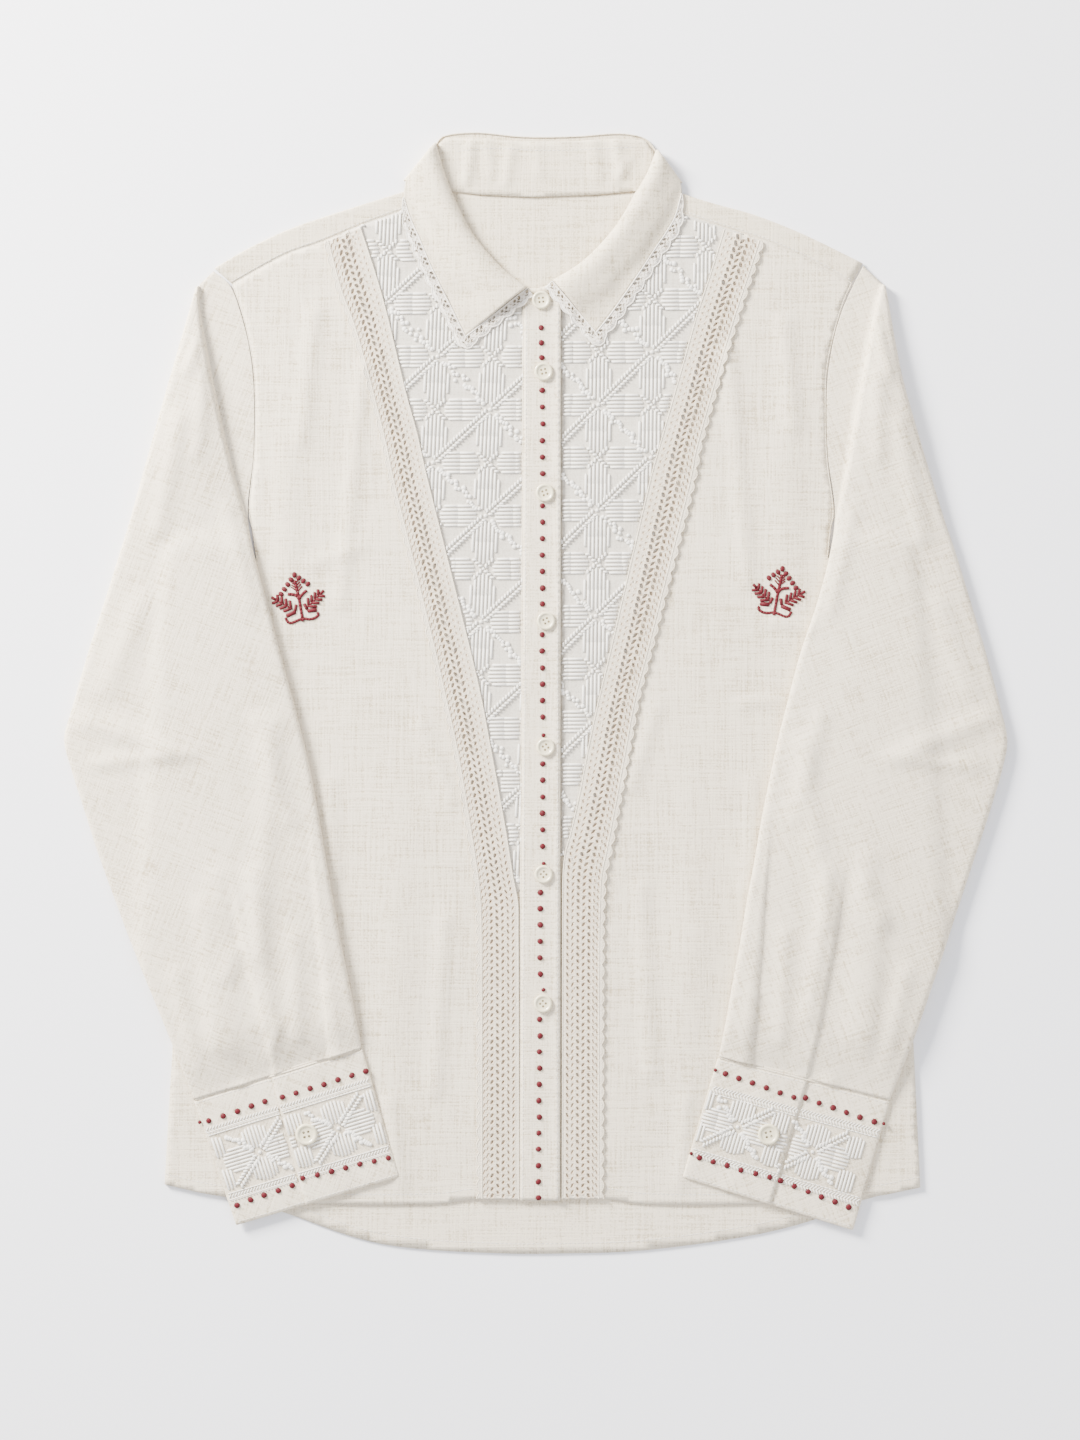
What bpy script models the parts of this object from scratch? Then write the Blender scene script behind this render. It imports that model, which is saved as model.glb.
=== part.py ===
"""A women's linen shirt laid flat: yoke, fronts with embroidered inserts, lace tapes,
turned-down collar, long sleeves with cuffs, and nine four-hole buttons.

Tables are in millimetres on the plan of the laid shirt: x to the viewer's right,
y towards the collar, with x = 0 on the front closure. Heights are above the surface
that the shirt lies on. Right and left in names are the wearer's.
"""

import math

import bmesh
import bpy
import numpy as np
from mathutils import Vector
from mathutils.geometry import delaunay_2d_cdt

MM = 0.001

# Cloth and how its layers stack
WALL = 1.0
GAP = 0.3
LAYER = WALL + GAP
BACK_Z = 0.0
FRONT_Z = BACK_Z + LAYER
APPLIED_Z = FRONT_Z + LAYER
OVER_APPLIED_Z = APPLIED_Z + LAYER
DRAPE_REACH = 9.0
DRAPE_SLOPE = 0.22

# Closure and buttons
PLACKET_TOP = 263.0
PLACKET_LEFT = (-11.2, -13.9)
PLACKET_RIGHT = (13.2, 12.5)
HEM_AT_PLACKET = -334.3
BAND_LEFT = -7.7
BAND_RIGHT = 12.9
BUTTON_RADIUS = 5.75
BUTTON_HOLE_RADIUS = 0.75
BUTTON_HOLE_OUT = 2.2
BUTTON_HOLE_CUT = 8.4
BUTTON_SIDES = 16
# x, y
BUTTONS = (
    (0.1, 259.3),
    (1.7, 212.2),
    (2.6, 132.3),
    (3.3, 47.9),
    (3.0, -35.3),
    (1.7, -119.1),
    (1.3, -204.3),
)

# Lace
SCALLOP_PERIOD = 10.0
SCALLOP_DEPTH = 1.6
SCALLOP_STEPS = 3
COLLAR_LACE_WIDTH = 7.0

# Sleeve tube
FOLD_HEIGHT = 3.3
SLEEVE_RISE = 2.3
RISE_AT_CUFF = 1.2
CAP_HEIGHT = FRONT_Z + WALL
PLEAT_STEP = 0.9

# Cuff
CUFF_UNDERLAP = 0.2
CUFF_EDGE = 0.012

# Shoulder line, where the yoke turns over to the front, from neck to armhole: x, y
SHOULDER = {
    "right": (
        (-80.0, 336.0), (-89.8, 331.0), (-127.4, 319.1), (-164.3, 306.6),
        (-192.7, 293.4), (-215.2, 280.3),
    ),
    "left": ((84.0, 334.0), (94.4, 329.0), (115.5, 322.4), (141.2, 315.2), (172.9, 302.6), (212.0, 283.5)),
}
# Seam between yoke and front, from neck to armhole: x, y
YOKE_SEAM = {
    "right": (
        (-71.5, 325.0), (-92.4, 318.4), (-119.5, 308.6), (-144.5, 298.0),
        (-167.0, 290.2), (-187.4, 279.5), (-203.3, 270.3),
    ),
    "left": (
        (72.0, 325.0), (95.7, 316.0), (118.1, 308.2), (147.2, 298.9),
        (172.0, 288.5), (190.0, 279.0), (204.6, 270.9),
    ),
}
# Front neck seam, hidden under the collar, from yoke to closure: x, y
NECK_SEAM = {
    "right": ((-71.0, 324.0), (-54.0, 297.5), (-32.0, 272.5), (-14.0, 259.0)),
    "left": ((72.0, 324.0), (56.5, 301.0), (35.0, 278.0), (15.0, 264.0)),
}
# Armhole edge of the body below the yoke seam, down to the underarm: x, y
ARMHOLE = {
    "right": (
        (-203.3, 269.8), (-196.7, 250.5), (-191.4, 228.0), (-188.8, 208.2),
        (-188.1, 182.5), (-189.0, 156.1), (-192.2, 122.0), (-190.0, 107.9),
        (-187.5, 89.5),
    ),
    "left": (
        (204.6, 270.4), (199.3, 258.4), (193.4, 239.2), (188.8, 217.5),
        (187.4, 196.4), (188.4, 156.1), (192.6, 122.0), (190.6, 107.9),
        (188.8, 89.5),
    ),
}
# Side seam from underarm to hem: x, y
SIDE = {
    "right": (
        (-222.0, 84.0), (-225.1, 61.7), (-230.0, -4.0), (-235.0, -70.3),
        (-242.9, -232.7), (-248.2, -323.7),
    ),
    "left": ((220.0, 84.0), (223.7, 61.7), (229.5, -4.0), (235.0, -70.3), (245.5, -227.4), (250.1, -325.7)),
}
# Front hem from side seam to closure: x, y
FRONT_HEM = {
    "right": (
        (-248.2, -323.7), (-209.9, -331.7), (-142.6, -336.9), (-72.6, -336.9),
        (-44.9, -333.8), (-8.3, -334.3),
    ),
    "left": (
        (250.1, -325.7), (212.5, -332.6), (138.6, -336.9), (71.9, -336.9),
        (42.9, -333.4), (13.2, -333.6),
    ),
}
# Back hem from the wearer's right to the left: x, y
BACK_HEM = (
    (-248.2, -323.7),
    (-210.0, -331.5),
    (-171.6, -341.6),
    (-123.4, -358.7),
    (-85.1, -366.0),
    (-27.7, -369.3),
    (20.5, -369.3),
    (68.6, -367.3),
    (132.7, -358.7),
    (176.9, -348.2),
    (213.0, -334.0),
    (250.1, -325.7),
)
BACK_YOKE_SEAM_Y = 246.0
BACK_NECK = ((-66.0, 332.3), (-40.0, 329.6), (-5.3, 328.2), (35.0, 329.6), (68.0, 332.6))

# Lace tape from yoke seam to hem: inner_x, inner_y, outer_x, outer_y
TAPE = {
    "right": (
        (-119.1, 307.4, -143.2, 297.4),
        (-108.9, 276.2, -135.0, 265.5),
        (-101.6, 250.5, -126.5, 243.5),
        (-95.0, 222.8, -118.5, 217.0),
        (-88.4, 195.7, -111.5, 190.5),
        (-81.8, 171.9, -105.5, 166.0),
        (-75.2, 142.9, -99.5, 137.5),
        (-61.0, 86.5, -85.5, 80.5),
        (-46.9, 30.0, -72.0, 24.5),
        (-39.3, -3.0, -65.0, -6.5),
        (-33.7, -32.7, -59.3, -31.5),
        (-28.4, -61.1, -54.2, -59.5),
        (-23.1, -90.8, -49.5, -89.0),
        (-18.5, -119.8, -45.0, -118.0),
        (-15.2, -138.0, -43.3, -138.0),
        (-14.5, -333.4, -42.2, -333.0),
    ),
    "left": (
        (120.8, 306.2, 147.2, 297.8),
        (111.8, 277.0, 139.3, 273.6),
        (103.0, 250.5, 130.8, 248.0),
        (94.4, 220.1, 121.5, 217.5),
        (86.5, 192.4, 113.6, 190.0),
        (77.8, 162.0, 105.6, 160.5),
        (72.0, 140.9, 101.5, 138.0),
        (59.0, 85.5, 87.5, 82.5),
        (46.2, 30.0, 73.4, 27.5),
        (38.3, -3.0, 65.0, -4.5),
        (31.5, -34.0, 59.3, -36.5),
        (26.2, -62.0, 54.3, -64.0),
        (19.8, -90.8, 49.3, -90.8),
        (16.0, -104.6, 46.5, -106.0),
        (14.4, -120.0, 43.9, -120.0),
        (13.9, -333.2, 42.9, -333.0),
    ),
}
INSERT_FOOT = {"right": -131.0, "left": -107.0}

# Collar fall, in rows from the right point round the neck to the left point
# inner_x, inner_y, outer_x, outer_y, behind (1 where it lies under the stand)
COLLAR = (
    (-9.2, 267.6, -49.5, 236.0, 0),
    (-17.0, 273.0, -53.3, 243.5, 0),
    (-25.7, 280.2, -57.6, 252.5, 0),
    (-36.0, 291.3, -65.4, 268.0, 0),
    (-45.5, 303.3, -73.6, 285.4, 0),
    (-53.5, 318.0, -80.0, 301.0, 0),
    (-60.1, 333.0, -86.6, 315.5, 0),
    (-65.2, 347.5, -90.4, 327.0, 0),
    (-69.3, 362.0, -89.1, 338.2, 0),
    (-69.3, 362.0, -89.1, 338.2, 1),
    (-63.0, 368.0, -70.0, 343.0, 1),
    (-41.6, 369.9, -42.0, 342.0, 1),
    (-11.9, 367.2, -12.0, 341.0, 1),
    (22.0, 367.4, 22.0, 341.0, 1),
    (51.5, 369.3, 50.0, 342.0, 1),
    (68.5, 366.0, 72.0, 343.0, 1),
    (76.0, 357.5, 91.6, 337.0, 1),
    (76.0, 357.5, 91.6, 337.0, 0),
    (70.5, 343.5, 92.6, 329.5, 0),
    (64.5, 333.0, 88.0, 314.5, 0),
    (57.5, 320.5, 81.6, 303.5, 0),
    (48.8, 307.2, 73.9, 292.1, 0),
    (39.0, 295.5, 64.6, 277.8, 0),
    (28.4, 285.4, 55.4, 264.3, 0),
    (18.5, 278.4, 46.0, 251.0, 0),
    (7.9, 272.2, 36.3, 238.6, 0),
)
COLLAR_COLUMNS = 5

# Collar stand's edge towards the neck hole, from the right end round to the left
STAND_INNER = (
    (-9.6, 267.4),
    (-26.2, 280.0),
    (-46.0, 303.2),
    (-60.4, 331.6),
    (-40.0, 328.9),
    (-5.3, 327.4),
    (35.0, 328.9),
    (62.6, 331.4),
    (49.3, 307.2),
    (28.8, 285.2),
    (9.2, 272.4),
)
# Collar stand's other edge, from the left end back round to the right
STAND_OUTER = (
    (15.4, 263.6),
    (36.0, 276.5),
    (58.0, 300.0),
    (72.0, 321.0),
    (79.0, 337.0),
    (73.0, 354.5),
    (66.5, 362.8),
    (51.0, 366.2),
    (22.0, 364.4),
    (-11.9, 364.2),
    (-41.6, 366.6),
    (-61.5, 364.6),
    (-66.6, 359.0),
    (-76.0, 340.0),
    (-70.0, 322.5),
    (-55.5, 296.0),
    (-33.5, 271.0),
    (-16.0, 258.6),
)
# The end of the stand that laps over the closure: x, y
STAND_TAB = ((-12.0, 263.4), (7.6, 263.4), (8.2, 270.4), (-2.0, 267.2))

# Sleeves, in rows from shoulder to cuff
# outer_x, outer_y, fold_x, fold_y, seam_x, seam_y (the armhole seam, or the fold again)
SLEEVE = {
    "right": (
        (-227.8, 267.2, -225.4, 268.6, -216.0, 278.6),
        (-231.5, 254.0, -224.8, 255.0, -204.6, 268.4),
        (-237.5, 232.7, -220.9, 232.7, -197.4, 249.5),
        (-245.0, 206.9, -216.0, 207.0, -192.0, 227.0),
        (-254.0, 175.0, -209.3, 175.0, -189.2, 200.0),
        (-263.0, 143.0, -201.7, 143.0, -189.6, 158.0),
        (-272.0, 111.0, -194.6, 117.5, -193.4, 121.5),
        (-278.0, 92.0, -189.4, 92.5, -189.4, 92.5),
        (-288.0, 60.0, -180.5, 60.0, -180.5, 60.0),
        (-298.3, 28.1, -172.2, 28.0, -172.2, 28.0),
        (-309.0, -9.0, -162.6, -7.0, -162.6, -7.0),
        (-314.3, -30.0, -156.8, -30.0, -156.8, -30.0),
        (-309.5, -50.5, -151.6, -52.0, -151.6, -52.0),
        (-300.0, -80.5, -146.5, -80.0, -146.5, -80.0),
        (-291.1, -107.9, -141.6, -109.0, -141.6, -109.0),
        (-280.5, -137.0, -136.4, -138.0, -136.4, -138.0),
        (-269.9, -165.3, -131.5, -165.0, -131.5, -165.0),
        (-257.4, -195.7, -126.2, -191.0, -126.2, -191.0),
        (-244.9, -226.1, -121.8, -214.0, -121.8, -214.0),
        (-234.6, -252.4, -119.4, -226.0, -119.4, -226.0),
        (-228.8, -268.0, -118.4, -233.6, -118.4, -233.6),
    ),
    "left": (
        (227.2, 268.6, 224.8, 269.6, 212.6, 282.0),
        (229.8, 254.0, 220.6, 256.0, 205.6, 268.4),
        (233.4, 232.7, 215.9, 234.0, 197.6, 249.5),
        (238.6, 207.0, 211.2, 207.0, 191.8, 227.0),
        (247.5, 175.0, 205.7, 177.0, 188.6, 200.0),
        (257.0, 143.5, 199.9, 143.0, 189.2, 158.0),
        (266.5, 113.0, 194.8, 117.5, 193.8, 121.5),
        (273.0, 94.0, 190.6, 92.5, 190.6, 92.5),
        (284.0, 58.0, 182.0, 60.0, 182.0, 60.0),
        (293.4, 26.5, 171.0, 27.0, 171.0, 27.0),
        (302.6, -8.0, 162.0, -7.0, 162.0, -7.0),
        (307.4, -31.0, 156.2, -30.0, 156.2, -30.0),
        (303.6, -52.0, 151.5, -52.0, 151.5, -52.0),
        (295.2, -80.0, 145.8, -80.0, 145.8, -80.0),
        (286.0, -108.0, 141.0, -108.0, 141.0, -108.0),
        (275.6, -139.5, 135.4, -138.0, 135.4, -138.0),
        (267.0, -165.5, 131.0, -165.0, 131.0, -165.0),
        (257.4, -193.5, 126.0, -192.0, 126.0, -192.0),
        (248.0, -221.0, 121.8, -216.0, 121.8, -216.0),
        (236.6, -251.0, 118.8, -231.0, 118.8, -231.0),
        (229.9, -267.8, 117.2, -239.2, 117.2, -239.2),
    ),
}
# Lapped edges on the sleeve's upper side, as the share of its width from the outer edge
# at the row where the edge starts and at the cuff: first_row, share_there, share_at_cuff
SLEEVE_LAPS = {
    "right": ((14, 0.56, 0.48), (13, 0.965, 0.80)),
    "left": ((14, 0.575, 0.48), (13, 0.965, 0.80)),
}
# Rows before this one end at the armhole seam, level with the body; later rows lie over it
FIRST_FREE_ROW = 7
FIRST_HOLLOW_ROW = 2
LOWER_SHARES = (0.16, 0.32, 0.48, 0.64, 0.8)
# How far from the body's edge the sleeve's lower side starts to sink to the surface
SLEEVE_REACH = 20.0

# Cuff: its corners at the outer top, inner top, inner bottom and outer bottom, then the lapped
# edge's top and bottom
CUFF = {
    "right": (
        (-228.4, -268.5), (-118.1, -234.2), (-93.7, -318.4), (-200.6, -350.1),
        (-177.5, -253.1), (-155.8, -334.9),
    ),
    "left": (
        (229.7, -268.6), (116.8, -240.4), (93.7, -318.8), (205.3, -353.4),
        (176.2, -253.8), (151.8, -335.0),
    ),
}
# x, y, radius
CUFF_BUTTON = {"right": (-154.4, -291.4, 6.8), "left": (149.8, -291.4, 6.6)}

# Soft folds in the fronts: x, y, half width, half length, height
SOFT_FOLDS = (
    (-96.0, -190.0, 13.0, 95.0, 1.1),
    (-168.0, 120.0, 12.0, 90.0, 0.9),
    (98.0, -170.0, 14.0, 110.0, 1.1),
    (163.0, 130.0, 12.0, 85.0, 0.9),
)
FOLD_GRID = 21.0


def material(name, color, roughness):
    made = bpy.data.materials.new(name)
    made.use_nodes = True
    shader = made.node_tree.nodes["Principled BSDF"]
    shader.inputs["Base Color"].default_value = (*color, 1.0)
    shader.inputs["Roughness"].default_value = roughness
    shader.inputs["Metallic"].default_value = 0.0
    made.diffuse_color = (*color, 1.0)
    return made


def add_object(name, mesh, finish):
    mesh.materials.append(finish)
    made = bpy.data.objects.new(name, mesh)
    bpy.context.scene.collection.objects.link(made)
    return made


def mesh_from(name, vertices, faces):
    """A mesh in metres from points in millimetres, with its faces turned outwards."""
    mesh = bpy.data.meshes.new(name)
    mesh.from_pydata([Vector(point) * MM for point in vertices], [], faces)
    work = bmesh.new()
    work.from_mesh(mesh)
    bmesh.ops.recalc_face_normals(work, faces=work.faces)
    work.to_mesh(mesh)
    work.free()
    return mesh


def smooth(points, steps):
    """A Catmull-Rom curve through the points, with this many steps between each two."""
    line = np.array(points, float)
    padded = np.vstack([2 * line[0] - line[1], line, 2 * line[-1] - line[-2]])
    found = []
    for a, b, c, d in zip(padded, padded[1:], padded[2:], padded[3:]):
        for k in range(steps):
            t = k / steps
            found.append(
                0.5
                * (
                    2 * b
                    + (c - a) * t
                    + (2 * a - 5 * b + 4 * c - d) * t**2
                    + (3 * b - a - 3 * c + d) * t**3
                )
            )
    found.append(line[-1])
    return [tuple(point) for point in found]


def spaced(line, step):
    """Points an equal way apart, close to this step, along a line of points."""
    line = np.array(line, float)
    run = np.concatenate([[0], np.cumsum(np.linalg.norm(np.diff(line, axis=0), axis=1))])
    count = max(1, round(run[-1] / step))
    at = np.linspace(0, run[-1], count + 1)
    return np.stack([np.interp(at, run, line[:, k]) for k in range(2)], axis=1)


def normals(line):
    """Unit vectors square to a line of points, on its right side."""
    along = np.gradient(np.asarray(line, float), axis=0)
    along /= np.linalg.norm(along, axis=1, keepdims=True)
    return np.stack([along[:, 1], -along[:, 0]], axis=1)


def scalloped(line, side):
    """The line with round scallops that stand out on its right (side 1) or its left (-1)."""
    points = spaced(line, SCALLOP_PERIOD / SCALLOP_STEPS)
    phase = np.arange(len(points)) % SCALLOP_STEPS / SCALLOP_STEPS
    out = SCALLOP_DEPTH * np.sin(math.pi * phase)
    return [tuple(p) for p in points + side * normals(points) * out[:, None]]


def edge_distance(x, y, outline):
    """How far a point lies from the nearest edge of an outline."""
    a = np.asarray(outline, float)
    along = np.roll(a, -1, axis=0) - a
    away = np.array([x, y]) - a
    share = np.clip((away * along).sum(1) / np.maximum((along**2).sum(1), 1e-9), 0, 1)
    return np.linalg.norm(away - along * share[:, None], axis=1).min()


def distance(x, y, outline):
    """How far a point lies outside an outline, or 0 inside it."""
    a = np.asarray(outline, float)
    b = np.roll(a, -1, axis=0)
    along = b - a
    crosses = (a[:, 1] > y) != (b[:, 1] > y)
    rise = np.where(crosses, b[:, 1] - a[:, 1], 1.0)
    inside = (crosses & (x < a[:, 0] + (y - a[:, 1]) * along[:, 0] / rise)).sum() % 2 == 1
    return 0.0 if inside else edge_distance(x, y, outline)


def soft_folds(x, y):
    """Height of the fronts' soft folds at a point."""
    return sum(
        height * math.exp(-(((x - at_x) / half_width) ** 2) - ((y - at_y) / half_length) ** 2)
        for at_x, at_y, half_width, half_length, height in SOFT_FOLDS
    )


def laid(x, y, base, under, reach=DRAPE_REACH):
    """Height of cloth that lies on a base and on raised pieces: it leaves each on a soft slope."""
    height = base
    for outline, top in under:
        away = distance(x, y, outline)
        height = max(height, top - DRAPE_SLOPE * max(0.0, away - reach))
    return height


def slab(name, outline, bottom, finish, grid=None):
    """A wall of cloth on the plan that stands on bottom(x, y)."""
    outline = [tuple(point) for point in outline]
    points = [Vector(point) for point in outline]
    if grid:
        low = np.min(outline, axis=0)
        high = np.max(outline, axis=0)
        ring = np.array(outline)
        for x in np.arange(low[0] + grid / 2, high[0], grid):
            for y in np.arange(low[1] + grid / 2, high[1], grid):
                if distance(x, y, ring) > 0 or edge_distance(x, y, ring) < grid * 0.4:
                    continue
                points.append(Vector((x, y)))
    ring = list(range(len(outline)))
    flat, _, faces, *_ = delaunay_2d_cdt(points, [], [ring], 1, 1e-5)
    count = len(flat)
    low = [(p.x, p.y, bottom(p.x, p.y)) for p in flat]
    high = [(x, y, z + WALL) for x, y, z in low]
    walls = []
    edges = {}
    for face in faces:
        for a, b in zip(face, [*face[1:], face[0]]):
            edges[(a, b)] = True
    for a, b in edges:
        if (b, a) not in edges:
            walls.append((a, b, b + count, a + count))
    top = [tuple(index + count for index in face) for face in faces]
    base = [tuple(reversed(face)) for face in faces]
    return add_object(name, mesh_from(name, low + high, base + top + walls), finish)


def thickened(made):
    """Gives a sheet at mid height its wall, half on each side."""
    wall = made.modifiers.new("Wall", "SOLIDIFY")
    wall.thickness = WALL * MM
    wall.offset = 0.0
    wall.use_even_offset = True
    return made


def tape_centre(side):
    return [((a + c) / 2, (b + d) / 2) for a, b, c, d in TAPE[side]]


def above(line, y):
    """The points of a line that lie above a height on the plan."""
    return [point for point in line if point[1] > y]


def crossing(line, y):
    """Where a line that runs down the plan crosses a height."""
    at = np.array(line)[::-1]
    return float(np.interp(y, at[:, 1], at[:, 0]))


def inward(points, side, way):
    """Points moved towards the closure, by less than a seam's width."""
    sign = 1 if side == "right" else -1
    return [(x + sign * way, y) for x, y in points]


def down(points, way):
    return [(x, y - way) for x, y in points]


def build_back(linen):
    sides = {side: ARMHOLE[side][1:] + SIDE[side] for side in SIDE}
    right = [point for point in sides["right"] if point[1] < BACK_YOKE_SEAM_Y]
    left = [point for point in sides["left"] if point[1] < BACK_YOKE_SEAM_Y]
    outline = [(crossing(ARMHOLE["right"], BACK_YOKE_SEAM_Y), BACK_YOKE_SEAM_Y), *right[:-1]]
    outline += smooth(BACK_HEM, 3)
    outline += [*reversed(left[:-1]), (crossing(ARMHOLE["left"], BACK_YOKE_SEAM_Y), BACK_YOKE_SEAM_Y)]
    slab("back", outline, lambda x, y: BACK_Z, linen)


def build_yoke(linen):
    """One sheet: the back yoke, turned up at both shoulders and down to the front seams."""
    low = BACK_Z + WALL / 2
    high = FRONT_Z + WALL / 2
    vertices = []
    faces = []

    def add(points, z):
        start = len(vertices)
        vertices.extend((x, y, z) for x, y in points)
        return list(range(start, len(vertices)))

    shoulder = {side: add(SHOULDER[side], low) for side in SHOULDER}
    armhole = {}
    for side in ARMHOLE:
        edge = above(ARMHOLE[side], BACK_YOKE_SEAM_Y + GAP)
        foot = (crossing(ARMHOLE[side], BACK_YOKE_SEAM_Y + GAP), BACK_YOKE_SEAM_Y + GAP)
        armhole[side] = add([*edge, foot], low)
    neck = add(BACK_NECK, low)
    faces.append(
        [
            *neck,
            *shoulder["left"],
            *armhole["left"],
            *reversed(armhole["right"]),
            *reversed(shoulder["right"]),
        ]
    )
    for side in SHOULDER:
        crest = add(SHOULDER[side], high)
        seam = add(YOKE_SEAM[side], high)
        for a, b, c, d in zip(shoulder[side], shoulder[side][1:], crest[1:], crest):
            faces.append((a, b, c, d))
        faces.append([*crest, *reversed(seam)])
    mesh = mesh_from("yoke", vertices, faces)
    thickened(add_object("yoke", mesh, linen))


def front_outline(side):
    foot = INSERT_FOOT[side]
    centre = inward(tape_centre(side), side, -GAP / 2)
    top = down([point for point in YOKE_SEAM[side] if abs(point[0]) > abs(centre[0][0]) + 1], GAP)
    start = (centre[0][0], seam_height(side, centre[0][0]) - GAP)
    inner = [start, *above(centre[1:], foot - GAP), (crossing(centre, foot - GAP), foot - GAP)]
    closure_x = BAND_LEFT - 2 * GAP if side == "right" else BAND_RIGHT + GAP
    inner += [(closure_x, foot - GAP)]
    hem = smooth(FRONT_HEM[side], 2)
    hem[-1] = (closure_x, hem[-1][1])
    return [*inner, *reversed(hem[1:]), *reversed(SIDE[side]), *reversed(ARMHOLE[side][1:]), *reversed(top)]


def seam_height(side, x):
    """Height on the plan of the yoke seam at x."""
    at = sorted(YOKE_SEAM[side])
    return float(np.interp(x, [p[0] for p in at], [p[1] for p in at]))


def insert_outline(side):
    foot = INSERT_FOOT[side]
    centre = inward(tape_centre(side), side, GAP / 2)
    start = (centre[0][0], seam_height(side, centre[0][0]) - GAP)
    outer = [start, *above(centre[1:], foot), (crossing(centre, foot), foot)]
    closure_x = BAND_LEFT - GAP if side == "right" else BAND_RIGHT + GAP
    top = down([p for p in YOKE_SEAM[side] if abs(p[0]) < abs(centre[0][0]) - 1], GAP)
    neck = smooth(NECK_SEAM[side][1:], 2)
    closure_top = (closure_x, neck[-1][1] - GAP)
    neck = [point for point in neck if abs(point[0]) > abs(closure_x) + 1]
    return [*outer, (closure_x, foot), closure_top, *reversed(neck), *top]


def build_fronts(linen, openwork):
    for side in ("right", "left"):
        slab(
            f"{side}_front",
            front_outline(side),
            lambda x, y: FRONT_Z + soft_folds(x, y),
            linen,
            grid=FOLD_GRID,
        )
        slab(f"{side}_insert", insert_outline(side), lambda x, y: FRONT_Z, openwork)


def tape_outline(side):
    rows = TAPE[side]
    inner = smooth([(a, b) for a, b, _, _ in rows], 2)
    outer = smooth([(c, d) for _, _, c, d in rows], 3)
    outward = 1 if side == "right" else -1
    return [*inner, *reversed(scalloped(outer, outward))]


def build_tapes(lace):
    for side in ("right", "left"):
        slab(
            f"{side}_tape",
            tape_outline(side),
            lambda x, y: APPLIED_Z + soft_folds(x, y),
            lace,
        )


def placket_outline():
    return [
        (PLACKET_LEFT[0], PLACKET_TOP),
        (PLACKET_RIGHT[0], PLACKET_TOP),
        (PLACKET_RIGHT[1], HEM_AT_PLACKET),
        (PLACKET_LEFT[1], HEM_AT_PLACKET),
    ]


def build_closure(linen):
    slab("placket", placket_outline(), lambda x, y: APPLIED_Z, linen)
    band = [
        (BAND_LEFT, PLACKET_TOP - 1),
        (BAND_RIGHT, PLACKET_TOP - 1),
        (BAND_RIGHT, HEM_AT_PLACKET),
        (BAND_LEFT, HEM_AT_PLACKET),
    ]
    slab("button_band", band, lambda x, y: FRONT_Z, linen)


def stand_outline():
    inner = [*smooth(STAND_INNER[:4], 2), *smooth(STAND_INNER[4:7], 1), *smooth(STAND_INNER[7:], 2)]
    return [*inner, *STAND_OUTER, *STAND_TAB]


def body_front_outline():
    """The plan of the body's front layer, with the yoke's front strips."""
    right = [*SHOULDER["right"], *ARMHOLE["right"], *SIDE["right"]]
    left = [*SHOULDER["left"], *ARMHOLE["left"], *SIDE["left"]]
    hem = [*FRONT_HEM["right"][1:], *reversed(FRONT_HEM["left"][1:])]
    neck_left = NECK_SEAM["left"]
    return [*right, *hem, *reversed(left), *neck_left, *reversed(NECK_SEAM["right"])]


def build_collar(linen):
    """The stand, then the fall as one sheet that runs behind the stand at the back of the neck."""
    body = body_front_outline()
    stand_under = [(body, APPLIED_Z)]
    slab(
        "collar_stand",
        stand_outline(),
        lambda x, y: laid(x, y, FRONT_Z, stand_under, reach=6.0),
        linen,
        grid=9.0,
    )
    under = [(stand_outline(), OVER_APPLIED_Z), (placket_outline(), OVER_APPLIED_Z)]
    under += [(tape_outline(side), OVER_APPLIED_Z) for side in TAPE]
    vertices = []
    for inner_x, inner_y, outer_x, outer_y, behind in COLLAR:
        for column in range(COLLAR_COLUMNS + 1):
            share = column / COLLAR_COLUMNS
            x = inner_x + (outer_x - inner_x) * share
            y = inner_y + (outer_y - inner_y) * share
            z = BACK_Z if behind else laid(x, y, APPLIED_Z, under)
            vertices.append((x, y, z + WALL / 2))
    width = COLLAR_COLUMNS + 1
    faces = [
        (row * width + k, row * width + k + 1, (row + 1) * width + k + 1, (row + 1) * width + k)
        for row in range(len(COLLAR) - 1)
        for k in range(COLLAR_COLUMNS)
    ]
    thickened(add_object("collar", mesh_from("collar", vertices, faces), linen))


def collar_edge(side):
    """The leaf's free edge, from the shoulder down to the point and up to the throat."""
    rows = [row for row in COLLAR if not row[4] and (row[0] < 0) == (side == "right")]
    if side == "right":
        rows = rows[::-1]
    outer = [(row[2], row[3]) for row in rows]
    return outer[1:], (rows[-1][0], rows[-1][1])


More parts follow.
